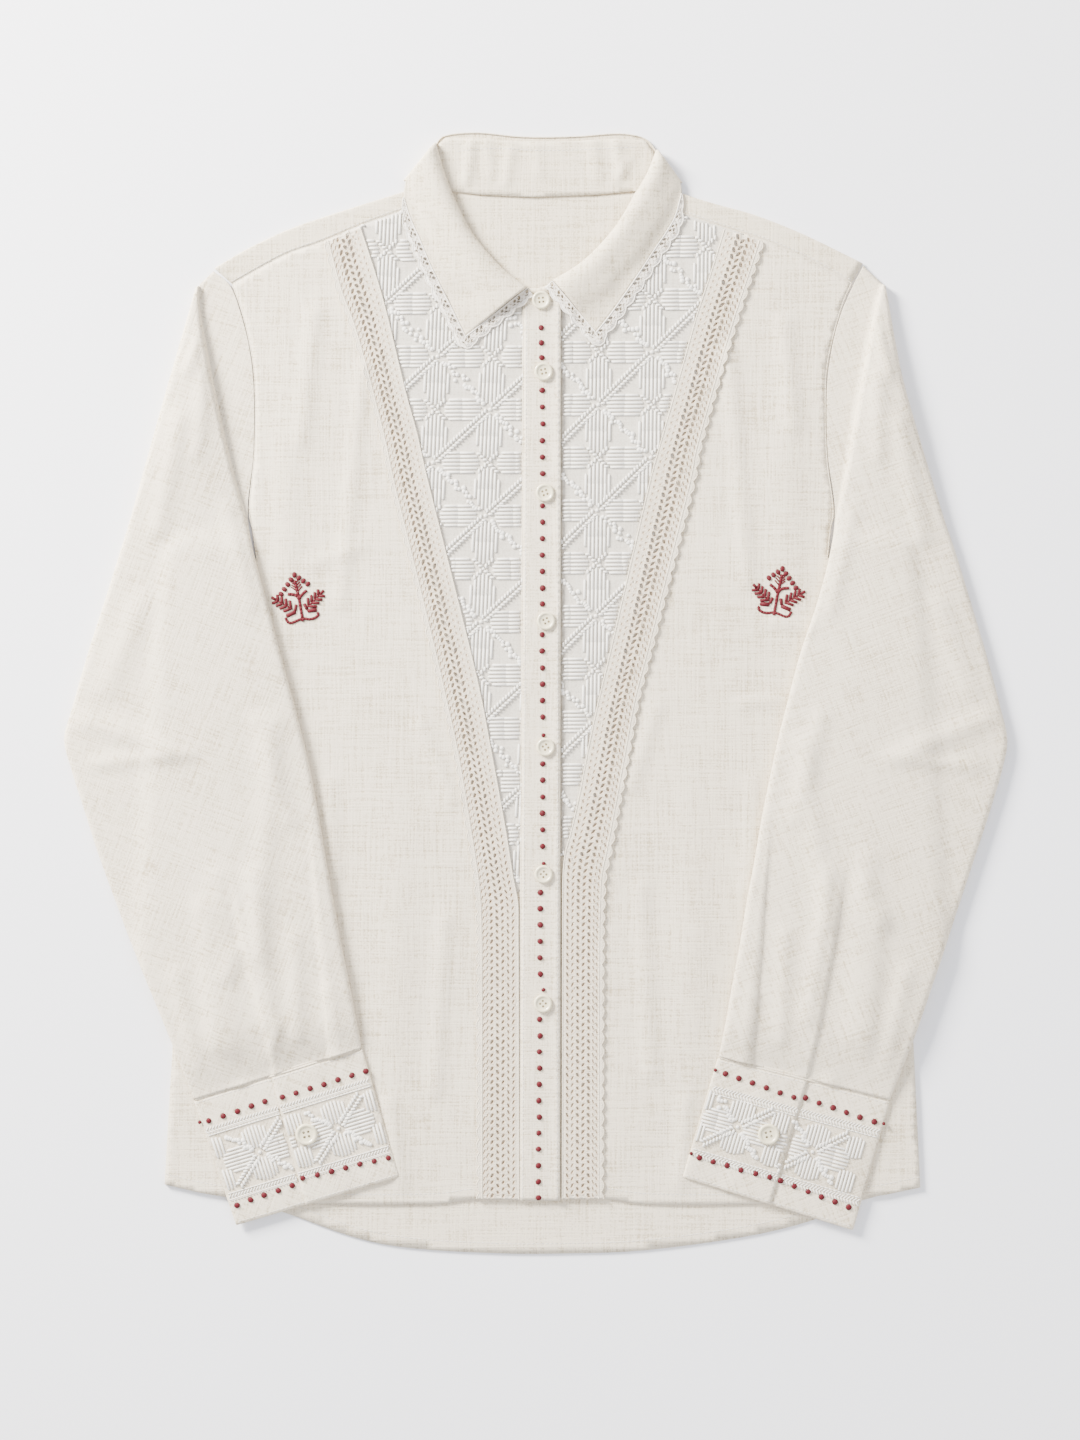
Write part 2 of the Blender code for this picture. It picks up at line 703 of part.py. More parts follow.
def build_collar_lace(lace):
    under = [(stand_outline(), OVER_APPLIED_Z), (placket_outline(), OVER_APPLIED_Z)]
    under += [(tape_outline(side), OVER_APPLIED_Z) for side in TAPE]
    for side in ("right", "left"):
        turn = 1 if side == "right" else -1
        edge, throat = collar_edge(side)
        tip = np.array(edge[-1])
        side_line = np.array(smooth(edge, 2))
        front_line = spaced([tip, throat], SCALLOP_PERIOD / SCALLOP_STEPS)
        seam = GAP + WALL / 2
        side_out = normals(side_line) * turn
        front_way = np.array(throat) - tip
        front_way /= np.linalg.norm(front_way)
        front_out = np.array([front_way[1], -front_way[0]]) * turn
        down_way = -front_way
        side_way = side_line[-1] - side_line[-2]
        side_way /= np.linalg.norm(side_way)
        # The edging starts narrow at the shoulder and reaches its full width in 25 mm
        run = np.concatenate([[0], np.cumsum(np.linalg.norm(np.diff(side_line, axis=0), axis=1))])
        grow = np.clip(0.25 + run / 25.0, 0.0, 1.0)
        outer_side = scalloped(side_line + side_out * (COLLAR_LACE_WIDTH * grow)[:, None], turn)
        inner_side = [tuple(p) for p in side_line[:-1] + side_out[:-1] * seam]
        corner = tip + (side_way + down_way) * 0.9 * seam + (side_out[-1] + front_out) * 0.35 * seam
        outer_front = front_line + front_out * COLLAR_LACE_WIDTH
        outer_front = scalloped(outer_front[1:-1], turn)
        inner_front = front_line[2:-1] + front_out * seam
        point = tip + (side_way + down_way) * COLLAR_LACE_WIDTH * 0.75
        outline = [*outer_side[:-1], tuple(point), *outer_front]
        outline += [tuple(p) for p in inner_front[::-1]]
        outline += [tuple(corner), *reversed(inner_side)]
        slab(
            f"{side}_collar_lace",
            outline,
            lambda x, y: laid(x, y, APPLIED_Z, under, reach=DRAPE_REACH - 3),
            lace,
        )


def sleeve_share(side, lap, row):
    """Where a lapped edge lies across the sleeve at a row, and how high it stands."""
    first, there, at_cuff = SLEEVE_LAPS[side][lap]
    last = len(SLEEVE[side]) - 1
    run = min(max((row - first) / (last - first), 0.0), 1.0)
    return there + (at_cuff - there) * run, PLEAT_STEP * min(1.0, run * 4)


def sleeve_top(side, row, share, rise):
    """Height of the sleeve's upper side above its lower side, at a share of its width."""
    height = FOLD_HEIGHT + rise * math.sin(math.pi * share) ** 0.8
    for lap in range(2):
        edge, step = sleeve_share(side, lap, row)
        if share > edge:
            height += step * max(0.0, 1.0 - (share - edge) / 0.16)
    return height


def sleeve_shares(side, row):
    """Shares of the width at which the upper side has a point, from the fold to the outer edge."""
    slit = sleeve_share(side, 0, row)[0]
    pleat = sleeve_share(side, 1, row)[0]
    nick = 0.006
    between = (slit + pleat) / 2
    shares = [pleat + nick, pleat - nick, between + 0.07, between - 0.05, slit + nick, slit - nick]
    return shares + [slit * 0.68, slit * 0.4, slit * 0.16]


def sleeve_loops(side, row, body):
    """The outer and the inner loop of one cross-section, as lists of points."""
    outer_x, outer_y, fold_x, fold_y, seam_x, seam_y = SLEEVE[side][row]
    outer = np.array([outer_x, outer_y])
    fold = np.array([fold_x, fold_y])
    seam = np.array([seam_x, seam_y])
    width = np.linalg.norm(fold - outer)
    last = len(SLEEVE[side]) - 1
    free = row >= FIRST_FREE_ROW
    rise = min(SLEEVE_RISE, 0.05 * width)
    rise += (min(RISE_AT_CUFF, rise) - rise) * max(0.0, (row - last + 5) / 5)
    edge = min(1.4 / width, 0.2)
    skin = min(2.4 / width, 0.3)

    def place(share):
        return outer + (fold - outer) * share

    def ground(point):
        if not free:
            return 0.0
        return laid(point[0], point[1], 0.0, [(body, APPLIED_Z)], reach=SLEEVE_REACH)

    def outside(point, height):
        return (point[0], point[1], ground(point) + height)

    end = fold if free else seam
    cap = 0.75 * WALL if free else CAP_HEIGHT
    loop = [outside(outer, FOLD_HEIGHT / 2)]
    hole = [outside(place(skin * 0.9), FOLD_HEIGHT / 2)]
    for share in (edge, *LOWER_SHARES, 1 - edge):
        loop.append(outside(place(share), 0.0))
        inner = min(max(share, skin), 1 - skin)
        hole.append(outside(place(inner), WALL))
    inner_end = place(1 - skin * 0.9)
    loop.append(outside(end, 0.25 * WALL if free else 0.0))
    loop.append(outside(end, cap))
    loop.append(outside(fold * 0.4 + end * 0.6, cap + 0.2 * WALL if free else cap))
    loop.append(outside(fold, cap + (0.45 if free else 0.1) * WALL))
    loop.append(outside(fold, FOLD_HEIGHT - 0.35 * WALL))
    for k in range(5):
        hole.append(outside(inner_end, WALL + (0.12 + 0.19 * k) * (FOLD_HEIGHT - 2 * WALL)))
    for share in [1 - edge, *sleeve_shares(side, row), edge]:
        share = min(max(share, edge), 1 - edge)
        loop.append(outside(place(share), sleeve_top(side, row, share, rise)))
        inner = min(max(share, skin), 1 - skin)
        hole.append(outside(place(inner), sleeve_top(side, row, inner, rise) - WALL))
    return loop, hole


def build_sleeves(linen):
    body = body_front_outline()
    for side in ("right", "left"):
        rows = len(SLEEVE[side])
        vertices = []
        faces = []
        loops = []
        holes = []
        for row in range(rows):
            loop, hole = sleeve_loops(side, row, body)
            count = len(loop)
            loops.append(range(len(vertices), len(vertices) + count))
            vertices += loop
            if row >= FIRST_HOLLOW_ROW:
                holes.append(range(len(vertices), len(vertices) + count))
                vertices += hole
        for rings in (loops, holes):
            for first, second in zip(rings, rings[1:]):
                for k in range(count):
                    after = (k + 1) % count
                    faces.append((first[k], first[after], second[after], second[k]))
        faces.append(tuple(loops[0]))
        faces.append(tuple(holes[0]))
        for k in range(count):
            after = (k + 1) % count
            faces.append((loops[-1][k], loops[-1][after], holes[-1][after], holes[-1][k]))
        mesh = mesh_from(f"{side}_sleeve", vertices, faces)
        work = bmesh.new()
        work.from_mesh(mesh)
        bmesh.ops.remove_doubles(work, verts=work.verts, dist=0.00002)
        bmesh.ops.triangulate(work, faces=work.faces)
        bmesh.ops.recalc_face_normals(work, faces=work.faces)
        work.to_mesh(mesh)
        work.free()
        add_object(f"{side}_sleeve", mesh, linen)


def cuff_path(lap):
    """The strip's way round the cuff: shares of its width from the outer edge, with heights."""
    low = APPLIED_Z + WALL / 2
    under = lap + CUFF_UNDERLAP
    upper_side = [(under, low + LAYER), (0.3, low + LAYER), (CUFF_EDGE, low + LAYER)]
    outer_fold = [(0.0, low + LAYER / 2), (CUFF_EDGE, low)]
    lower_side = [(0.25, low), (0.75, low), (1 - CUFF_EDGE, low)]
    inner_fold = [(1.0, low + LAYER / 2), (1 - CUFF_EDGE, low + LAYER)]
    over_lap = [(under + 0.12, low + LAYER), (under + 0.03, low + 2 * LAYER), (lap, low + 2 * LAYER)]
    return [*upper_side, *outer_fold, *lower_side, *inner_fold, *over_lap]


def build_cuffs(linen):
    """Each cuff is a strip: from under the lap out to one fold, below, and back over to the lap."""
    for side in ("right", "left"):
        outer_top, inner_top, inner_foot, outer_foot, lap_top, lap_foot = map(np.array, CUFF[side])
        vertices = []
        for down_share in (0.0, 0.5, 1.0):
            outer = outer_top + (outer_foot - outer_top) * down_share
            inner = inner_top + (inner_foot - inner_top) * down_share
            lap_point = lap_top + (lap_foot - lap_top) * down_share
            lap = np.linalg.norm(lap_point - outer) / np.linalg.norm(inner - outer)
            path = cuff_path(lap)
            for share, z in path:
                x, y = outer + (inner - outer) * share
                vertices.append((x, y, z))
        width = len(path)
        faces = [
            (row * width + k, row * width + k + 1, (row + 1) * width + k + 1, (row + 1) * width + k)
            for row in range(2)
            for k in range(width - 1)
        ]
        name = f"{side}_cuff"
        thickened(add_object(name, mesh_from(name, vertices, faces), linen))


def button_mesh(radius, finish):
    """A turned disc with a raised rim and four holes."""
    scale = radius / BUTTON_RADIUS
    profile = ((4.7, 0.0), (5.75, 0.9), (5.25, 2.1), (4.3, 2.1), (3.5, 1.5))
    vertices = []
    for out, up in profile:
        for k in range(BUTTON_SIDES):
            turn = 2 * math.pi * k / BUTTON_SIDES
            vertices.append((out * scale * math.cos(turn), out * scale * math.sin(turn), up))
    faces = [tuple(reversed(range(BUTTON_SIDES)))]
    for ring in range(len(profile) - 1):
        for k in range(BUTTON_SIDES):
            after = (k + 1) % BUTTON_SIDES
            a = ring * BUTTON_SIDES
            b = a + BUTTON_SIDES
            faces.append((a + k, a + after, b + after, b + k))
    faces.append(tuple(range(len(vertices) - BUTTON_SIDES, len(vertices))))
    blank = add_object("button_blank", mesh_from("button_blank", vertices, faces), finish)
    for k in range(4):
        turn = math.pi / 4 + k * math.pi / 2
        bpy.ops.mesh.primitive_cylinder_add(
            vertices=6,
            radius=BUTTON_HOLE_RADIUS * MM,
            depth=BUTTON_HOLE_CUT * MM,
            location=(BUTTON_HOLE_OUT * math.cos(turn) * MM, BUTTON_HOLE_OUT * math.sin(turn) * MM, 0),
        )
        cutter = bpy.context.object
        cut = blank.modifiers.new("Hole", "BOOLEAN")
        cut.operation = "DIFFERENCE"
        cut.object = cutter
        bpy.context.view_layer.update()
        evaluated = blank.evaluated_get(bpy.context.evaluated_depsgraph_get())
        drilled = bpy.data.meshes.new_from_object(evaluated)
        blank.modifiers.clear()
        blank.data = drilled
        bpy.data.objects.remove(cutter)
    mesh = blank.data
    bpy.data.objects.remove(blank)
    mesh.name = "button"
    return mesh


def build_buttons(horn):
    seat = OVER_APPLIED_Z
    front = button_mesh(BUTTON_RADIUS, horn)
    for number, (x, y) in enumerate(BUTTONS, 1):
        made = bpy.data.objects.new(f"button_{number}", front)
        made.location = (x * MM, y * MM, seat * MM)
        bpy.context.scene.collection.objects.link(made)
    cuff_seat = APPLIED_Z + 3 * LAYER
    for side, (x, y, radius) in CUFF_BUTTON.items():
        made = bpy.data.objects.new(f"{side}_cuff_button", button_mesh(radius, horn))
        made.location = (x * MM, y * MM, cuff_seat * MM)
        bpy.context.scene.collection.objects.link(made)


def centre_on_origin():
    """Moves every object so that the whole shirt's box stands centred on the origin."""
    bpy.context.view_layer.update()
    graph = bpy.context.evaluated_depsgraph_get()
    corners = []
    for made in bpy.context.scene.objects:
        mesh = made.evaluated_get(graph).to_mesh()
        corners += [made.matrix_world @ vertex.co for vertex in mesh.vertices]
    middle_x = (min(p.x for p in corners) + max(p.x for p in corners)) / 2
    middle_y = (min(p.y for p in corners) + max(p.y for p in corners)) / 2
    for made in bpy.context.scene.objects:
        made.location.x -= middle_x
        made.location.y -= middle_y
    print(f"plan moved by {-middle_x * 1000:.3f}, {-middle_y * 1000:.3f} mm")


def main():
    for old in list(bpy.data.objects):
        bpy.data.objects.remove(old)
    linen = material("linen", (0.80, 0.77, 0.71), 0.9)
    openwork = material("embroidered_ground", (0.78, 0.77, 0.74), 0.85)
    lace = material("cotton_lace", (0.77, 0.71, 0.62), 0.9)
    horn = material("button_ivory", (0.80, 0.75, 0.64), 0.35)
    build_back(linen)
    build_yoke(linen)
    build_fronts(linen, openwork)
    build_tapes(lace)
    build_closure(linen)
    build_collar(linen)
    build_collar_lace(lace)
    build_sleeves(linen)
    build_cuffs(linen)
    build_buttons(horn)
    centre_on_origin()


main()
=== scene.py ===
# %% [markdown]
# # A linen shirt, laid flat
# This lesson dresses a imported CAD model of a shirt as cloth, lace and embroidery. The solids say
# where each piece lies, and thin shells on the same plan give the looks. The plan is in
# millimetres, with x = 0 on the closure and y towards the collar. Right and left are the wearer's.

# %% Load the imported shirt
from math import atan2, ceil, cos, pi, radians, sin

import bmesh
import bpy
import numpy as np
from mathutils import Matrix, Vector, noise
from mathutils.geometry import delaunay_2d_cdt
from numpy.linalg import norm


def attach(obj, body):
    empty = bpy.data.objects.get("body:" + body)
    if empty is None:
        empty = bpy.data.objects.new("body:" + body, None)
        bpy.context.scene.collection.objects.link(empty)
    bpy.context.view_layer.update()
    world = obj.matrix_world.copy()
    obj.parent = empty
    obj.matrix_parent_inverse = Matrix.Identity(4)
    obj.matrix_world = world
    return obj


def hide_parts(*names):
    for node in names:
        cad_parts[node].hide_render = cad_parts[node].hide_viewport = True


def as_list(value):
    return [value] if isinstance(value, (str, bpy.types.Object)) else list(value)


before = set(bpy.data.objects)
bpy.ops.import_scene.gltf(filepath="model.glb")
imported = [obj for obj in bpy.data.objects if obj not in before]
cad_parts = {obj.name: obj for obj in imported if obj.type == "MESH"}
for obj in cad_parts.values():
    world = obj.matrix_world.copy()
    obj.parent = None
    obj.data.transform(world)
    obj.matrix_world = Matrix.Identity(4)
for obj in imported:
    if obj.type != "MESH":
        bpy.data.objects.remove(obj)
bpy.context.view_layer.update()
SIDES = ("right", "left")

# %% [markdown]
# ## Camera, surface and light
# A flat lay is photographed from straight above, on a smooth pale surface. One large soft light
# at the upper left, as low as a window, lets folds and stitches cast short shadows, and a weaker
# one fills from the other side.

# %% Camera
PHOTO_HEIGHT = 0.9504
CAMERA_HEIGHT = 2.6
SENSOR_HEIGHT = 36.0
CAMERA_CENTRE = (0.0028, -0.0176)


def placed(name, data):
    """An object with its data, in the scene."""
    made = bpy.data.objects.new(name, data)
    bpy.context.scene.collection.objects.link(made)
    return made


camera_data = bpy.data.cameras.new("camera")
camera_data.sensor_fit = "VERTICAL"
camera_data.sensor_height = SENSOR_HEIGHT
camera_data.lens = SENSOR_HEIGHT * CAMERA_HEIGHT / PHOTO_HEIGHT
camera = placed("camera", camera_data)
camera.location = (*CAMERA_CENTRE, CAMERA_HEIGHT)
bpy.context.scene.camera = camera
print(f"Camera {CAMERA_HEIGHT} m above the shirt, lens {camera_data.lens:.1f} mm")


# %% Lights
def soft_light(name, place, size, power, color):
    """A square lamp that looks at the middle of the shirt."""
    data = bpy.data.lights.new(name, "AREA")
    data.size, data.energy, data.color = size, power, color
    lamp = placed(name, data)
    lamp.location = place
    lamp.rotation_euler = (-Vector(place)).to_track_quat("-Z", "Y").to_euler()


soft_light("window", (-1.75, 1.45, 1.05), 0.8, 430, (1, 0.972, 0.93))
soft_light("fill", (1.5, -0.6, 1.9), 1.8, 42, (0.97, 0.98, 1))
sky = bpy.data.worlds.new("room")
sky.use_nodes = True
glow = sky.node_tree.nodes["Background"].inputs
glow["Color"].default_value = (0.93, 0.94, 1, 1)
glow["Strength"].default_value = 1.25
bpy.context.scene.world = sky


# %% [markdown]
# ## Materials in nodes
# A helper adds a node, sets its values and joins its sockets in one call. Patterns read Object
# coordinates, which are metres on the laid shirt, so a weave has its real size on each piece.

# %% Node helper
def add_node(tree, kind, settings=None, **sockets):
    """A node with its settings, and each named socket set to a value or joined to a socket."""
    node = tree.nodes.new(kind)
    for key, value in (settings or {}).items():
        setattr(node, key, value)
    for key, value in sockets.items():
        place = int(key[1:]) if key[0] == "i" and key[1:].isdigit() else key.replace("_", " ")
        if isinstance(value, bpy.types.NodeSocket):
            tree.links.new(value, node.inputs[place])
        else:
            node.inputs[place].default_value = value
    return node


def new_material(name, color, roughness, sheen=0):
    """A material, its tree, its shader's sockets and the place on the shirt."""
    made = bpy.data.materials.new(name)
    made.use_nodes = True
    made.diffuse_color = (*color, 1)
    shader = made.node_tree.nodes["Principled BSDF"].inputs
    shader["Base Color"].default_value = (*color, 1)
    shader["Roughness"].default_value = roughness
    shader["Specular IOR Level"].default_value = 0.25
    shader["Sheen Weight"].default_value = sheen
    shader["Sheen Roughness"].default_value = 0.5
    place = add_node(made.node_tree, "ShaderNodeTexCoord").outputs["Object"]
    return made, made.node_tree, shader, place


def dressed(tree, shader, color, relief, strength, depth):
    """Joins a colour and a relief to a shader's sockets."""
    bump = add_node(tree, "ShaderNodeBump", Height=relief, Strength=strength, Distance=depth)
    tree.links.new(color, shader["Base Color"])
    tree.links.new(bump.outputs["Normal"], shader["Normal"])


def attribute(tree, name):
    """A value that the mesh carries."""
    return add_node(tree, "ShaderNodeAttribute", {"attribute_name": name}).outputs["Fac"]


def grains(tree, place, scale, detail=2):
    """Noise whose grains are as long in x, y and z as 1 / scale says, in metres."""
    scale = scale if isinstance(scale, tuple) else (scale, scale, scale)
    mapped = add_node(tree, "ShaderNodeMapping", Vector=place, Scale=scale).outputs["Vector"]
    return add_node(tree, "ShaderNodeTexNoise", Vector=mapped, Scale=1, Detail=detail).outputs["Fac"]


def maths(tree, operation, *values):
    """A Math node on two or three values or sockets."""
    sockets = {f"i{k}": value for k, value in enumerate(values)}
    return add_node(tree, "ShaderNodeMath", {"operation": operation}, **sockets).outputs[0]


def blended(tree, factor, first, second):
    """A colour between two colours."""
    mix = tree.nodes.new("ShaderNodeMix")
    mix.data_type = "RGBA"
    for place, value in ((0, factor), (6, first), (7, second)):
        if isinstance(value, bpy.types.NodeSocket):
            tree.links.new(value, mix.inputs[place])
        else:
            mix.inputs[place].default_value = value if place == 0 else (*value, 1)
    return mix.outputs[2]


# %% Surface under the shirt
surface_finish, tree, shader, place = new_material("painted_board", (0.86, 0.86, 0.885), 0.6)
board_color = blended(tree, grains(tree, place, 3), (0.84, 0.84, 0.865), (0.88, 0.88, 0.905))
dressed(tree, shader, board_color, grains(tree, place, 900, 1), 0.05, 0.0002)


def built(name, build):
    """A mesh that build(work) makes with bmesh."""
    work = bmesh.new()
    build(work)
    mesh = bpy.data.meshes.new(name)
    work.to_mesh(mesh)
    work.free()
    return mesh


board_mesh = built("surface", lambda work: bmesh.ops.create_grid(work, x_segments=8, y_segments=8, size=3))
board_mesh.transform(Matrix.Translation((0, 0, -0.0003)))
board_mesh.materials.append(surface_finish)
surface = placed("surface", board_mesh)
print("Pale surface, two lamps and a room's light are set")
# %% [markdown]
# ## The plan of the shirt
# Each outline is the one that the solids were cut to, in millimetres, so that cloth and solid lie
# in the same place.

# %% Closure, buttons and seams
# Closure and buttons
PLACKET_TOP = 263.0
PLACKET_LEFT = (-11.2, -13.9)
PLACKET_RIGHT = (13.2, 12.5)
HEM_AT_PLACKET = -334.3
BAND_LEFT = -7.7
BAND_RIGHT = 12.9
BUTTON_RADIUS = 5.75
# x, y
BUTTONS = (
    (0.1, 259.3), (1.7, 212.2), (2.6, 132.3), (3.3, 47.9), (3, -35.3), (1.7, -119.1), (1.3, -204.3),
)

# Shoulder line, where the yoke turns over to the front, from neck to armhole: x, y
SHOULDER = {
    "right": (
        (-80, 336), (-89.8, 331), (-127.4, 319.1), (-164.3, 306.6), (-192.7, 293.4), (-215.2, 280.3),
    ),
    "left": ((84, 334), (94.4, 329), (115.5, 322.4), (141.2, 315.2), (172.9, 302.6), (212, 283.5)),
}
# Seam between yoke and front, from neck to armhole: x, y
YOKE_SEAM = {
    "right": (
        (-71.5, 325), (-92.4, 318.4), (-119.5, 308.6), (-144.5, 298), (-167, 290.2), (-187.4, 279.5),
        (-203.3, 270.3),
    ),
    "left": (
        (72, 325), (95.7, 316), (118.1, 308.2), (147.2, 298.9), (172, 288.5), (190, 279), (204.6, 270.9),
    ),
}
# Front neck seam, hidden under the collar, from yoke to closure: x, y
NECK_SEAM = {
    "right": ((-71, 324), (-54, 297.5), (-32, 272.5), (-14, 259)),
    "left": ((72, 324), (56.5, 301), (35, 278), (15, 264)),
}
# Armhole edge of the body below the yoke seam, down to the underarm: x, y
ARMHOLE = {
    "right": (
        (-203.3, 269.8), (-196.7, 250.5), (-191.4, 228), (-188.8, 208.2), (-188.1, 182.5), (-189, 156.1),
        (-192.2, 122), (-190, 107.9), (-187.5, 89.5),
    ),
    "left": (
        (204.6, 270.4), (199.3, 258.4), (193.4, 239.2), (188.8, 217.5), (187.4, 196.4), (188.4, 156.1),
        (192.6, 122), (190.6, 107.9), (188.8, 89.5),
    ),
}
# Side seam from underarm to hem: x, y
SIDE = {
    "right": ((-222, 84), (-225.1, 61.7), (-230, -4), (-235, -70.3), (-242.9, -232.7), (-248.2, -323.7)),
    "left": ((220, 84), (223.7, 61.7), (229.5, -4), (235, -70.3), (245.5, -227.4), (250.1, -325.7)),
}
# Front hem from side seam to closure: x, y
FRONT_HEM = {
    "right": (
        (-248.2, -323.7), (-209.9, -331.7), (-142.6, -336.9), (-72.6, -336.9), (-44.9, -333.8),
        (-8.3, -334.3),
    ),
    "left": (
        (250.1, -325.7), (212.5, -332.6), (138.6, -336.9), (71.9, -336.9), (42.9, -333.4), (13.2, -333.6),
    ),
}
# Back hem from the wearer's right to the left: x, y
BACK_HEM = (
    (-248.2, -323.7), (-210, -331.5), (-171.6, -341.6), (-123.4, -358.7), (-85.1, -366), (-27.7, -369.3),
    (20.5, -369.3), (68.6, -367.3), (132.7, -358.7), (176.9, -348.2), (213, -334), (250.1, -325.7),
)
BACK_NECK = ((-66, 332.3), (-40, 329.6), (-5.3, 328.2), (35, 329.6), (68, 332.6))

# %% Lace tapes
# Lace tape from yoke seam to hem: inner_x, inner_y, outer_x, outer_y
TAPE = {
    "right": (
        (-119.1, 307.4, -143.2, 297.4), (-108.9, 276.2, -135, 265.5), (-101.6, 250.5, -126.5, 243.5),
        (-95, 222.8, -118.5, 217), (-88.4, 195.7, -111.5, 190.5), (-81.8, 171.9, -105.5, 166),
        (-75.2, 142.9, -99.5, 137.5), (-61, 86.5, -85.5, 80.5), (-46.9, 30, -72, 24.5),
        (-39.3, -3, -65, -6.5), (-33.7, -32.7, -59.3, -31.5), (-28.4, -61.1, -54.2, -59.5),
        (-23.1, -90.8, -49.5, -89), (-18.5, -119.8, -45, -118), (-15.2, -138, -43.3, -138),
        (-14.9, -158, -42.6, -158), (-14.7, -198, -42.4, -198), (-14.5, -333.4, -42.2, -333),
    ),
    "left": (
        (120.8, 306.2, 147.2, 297.8), (111.8, 277, 139.3, 273.6), (103, 250.5, 130.8, 248),
        (94.4, 220.1, 121.5, 217.5), (86.5, 192.4, 113.6, 190), (77.8, 162, 105.6, 160.5),
        (72, 140.9, 101.5, 138), (59, 85.5, 87.5, 82.5), (46.2, 30, 73.4, 27.5), (38.3, -3, 65, -4.5),
        (31.5, -34, 59.3, -36.5), (26.2, -62, 54.3, -64), (19.8, -90.8, 49.3, -90.8),
        (16, -104.6, 46.5, -106), (14.4, -120, 43.4, -120), (14.2, -140, 42.3, -140),
        (14.1, -180, 41.6, -180), (13.9, -333.2, 41.2, -333),
    ),
}
INSERT_FOOT = {"right": -131, "left": -107.0}

# %% Collar
# Collar fall, in rows from the right point round the neck to the left point
# inner_x, inner_y, outer_x, outer_y, behind (1 where it lies under the stand)
COLLAR = (
    (-9.2, 267.6, -49.5, 236, 0), (-17, 273, -53.3, 243.5, 0), (-25.7, 280.2, -57.6, 252.5, 0),
    (-36, 291.3, -65.4, 268, 0), (-45.5, 303.3, -73.6, 285.4, 0), (-53.5, 318, -80, 301, 0),
    (-60.1, 333, -86.6, 315.5, 0), (-65.2, 347.5, -90.4, 327, 0), (-69.3, 362, -89.1, 338.2, 0),
    (-69.3, 362, -89.1, 338.2, 1), (-63, 368, -70, 343, 1), (-41.6, 369.9, -42, 342, 1),
    (-11.9, 367.2, -12, 341, 1), (22, 367.4, 22, 341, 1), (51.5, 369.3, 50, 342, 1),
    (68.5, 366, 72, 343, 1), (76, 357.5, 91.6, 337, 1), (76, 357.5, 91.6, 337, 0),
    (70.5, 343.5, 92.6, 329.5, 0), (64.5, 333, 88, 314.5, 0), (57.5, 320.5, 81.6, 303.5, 0),
    (48.8, 307.2, 73.9, 292.1, 0), (39, 295.5, 64.6, 277.8, 0), (28.4, 285.4, 55.4, 264.3, 0),
    (18.5, 278.4, 46, 251, 0), (7.9, 272.2, 36.3, 238.6, 0),
)
# Collar stand's edge towards the neck hole, from the right end round to the left
STAND_INNER = (
    (-9.6, 267.4), (-26.2, 280), (-46, 303.2), (-60.4, 331.6), (-40, 328.9), (-5.3, 327.4), (35, 328.9),
    (62.6, 331.4), (49.3, 307.2), (28.8, 285.2), (9.2, 272.4),
)
# Collar stand's other edge, from the left end back round to the right
STAND_OUTER = (
    (15.4, 263.6), (36, 276.5), (58, 300), (72, 321), (79, 337), (75.5, 355.5), (68.5, 364.8),
    (51, 366.2), (22, 364.4), (-11.9, 364.2), (-41.6, 366.6), (-63, 366.6), (-69, 361), (-76, 340),
    (-70, 322.5), (-55.5, 296), (-33.5, 271), (-16, 258.6),
)
# The end of the stand that laps over the closure: x, y
STAND_TAB = ((-12, 263.4), (7.6, 263.4), (8.2, 270.4), (-2, 267.2))

# %% Sleeves and cuffs
# Sleeves, in rows from shoulder to cuff
# outer_x, outer_y, fold_x, fold_y, seam_x, seam_y (below the armhole the seam is the fold, left out here)
SLEEVE = {
    "right": (
        (-227.8, 267.2, -225.4, 268.6, -216, 278.6), (-231.5, 254, -224.8, 255, -204.6, 268.4),
        (-237.5, 232.7, -220.9, 232.7, -197.4, 249.5), (-245, 206.9, -216, 207, -192, 227),
        (-254, 175, -209.3, 175, -189.2, 200), (-263, 143, -201.7, 143, -189.6, 158),
        (-272, 111, -194.6, 117.5, -193.4, 121.5), (-278, 92, -189.4, 92.5), (-288, 60, -180.5, 60),
        (-298.3, 28.1, -172.2, 28), (-309, -9, -162.6, -7), (-314.3, -30, -156.8, -30),
        (-309.5, -50.5, -151.6, -52), (-300, -80.5, -146.5, -80), (-291.1, -107.9, -141.6, -109),
        (-280.5, -137, -136.4, -138), (-269.9, -165.3, -131.5, -165), (-257.4, -195.7, -126.2, -191),
        (-244.9, -226.1, -121.8, -214), (-234.6, -252.4, -119.4, -226), (-228.8, -268, -118.4, -233.6),
    ),
    "left": (
        (227.2, 268.6, 224.8, 269.6, 212.6, 282), (229.8, 254, 220.6, 256, 205.6, 268.4),
        (233.4, 232.7, 215.9, 234, 197.6, 249.5), (238.6, 207, 211.2, 207, 191.8, 227),
        (247.5, 175, 205.7, 177, 188.6, 200), (257, 143.5, 199.9, 143, 189.2, 158),
        (266.5, 113, 194.8, 117.5, 193.8, 121.5), (273, 94, 190.6, 92.5), (284, 58, 182, 60),
        (293.4, 26.5, 171, 27), (302.6, -8, 162, -7), (307.4, -31, 156.2, -30), (303.6, -52, 151.5, -52),
        (295.2, -80, 145.8, -80), (286, -108, 141, -108), (275.6, -139.5, 135.4, -138),
        (267, -165.5, 131, -165), (257.4, -193.5, 126, -192), (248, -221, 121.8, -216),
        (236.6, -251, 118.8, -231), (229.9, -267.8, 117.2, -239.2),
    ),
}
SLEEVE = {side: [(*row, *row[2:])[:6] for row in rows] for side, rows in SLEEVE.items()}
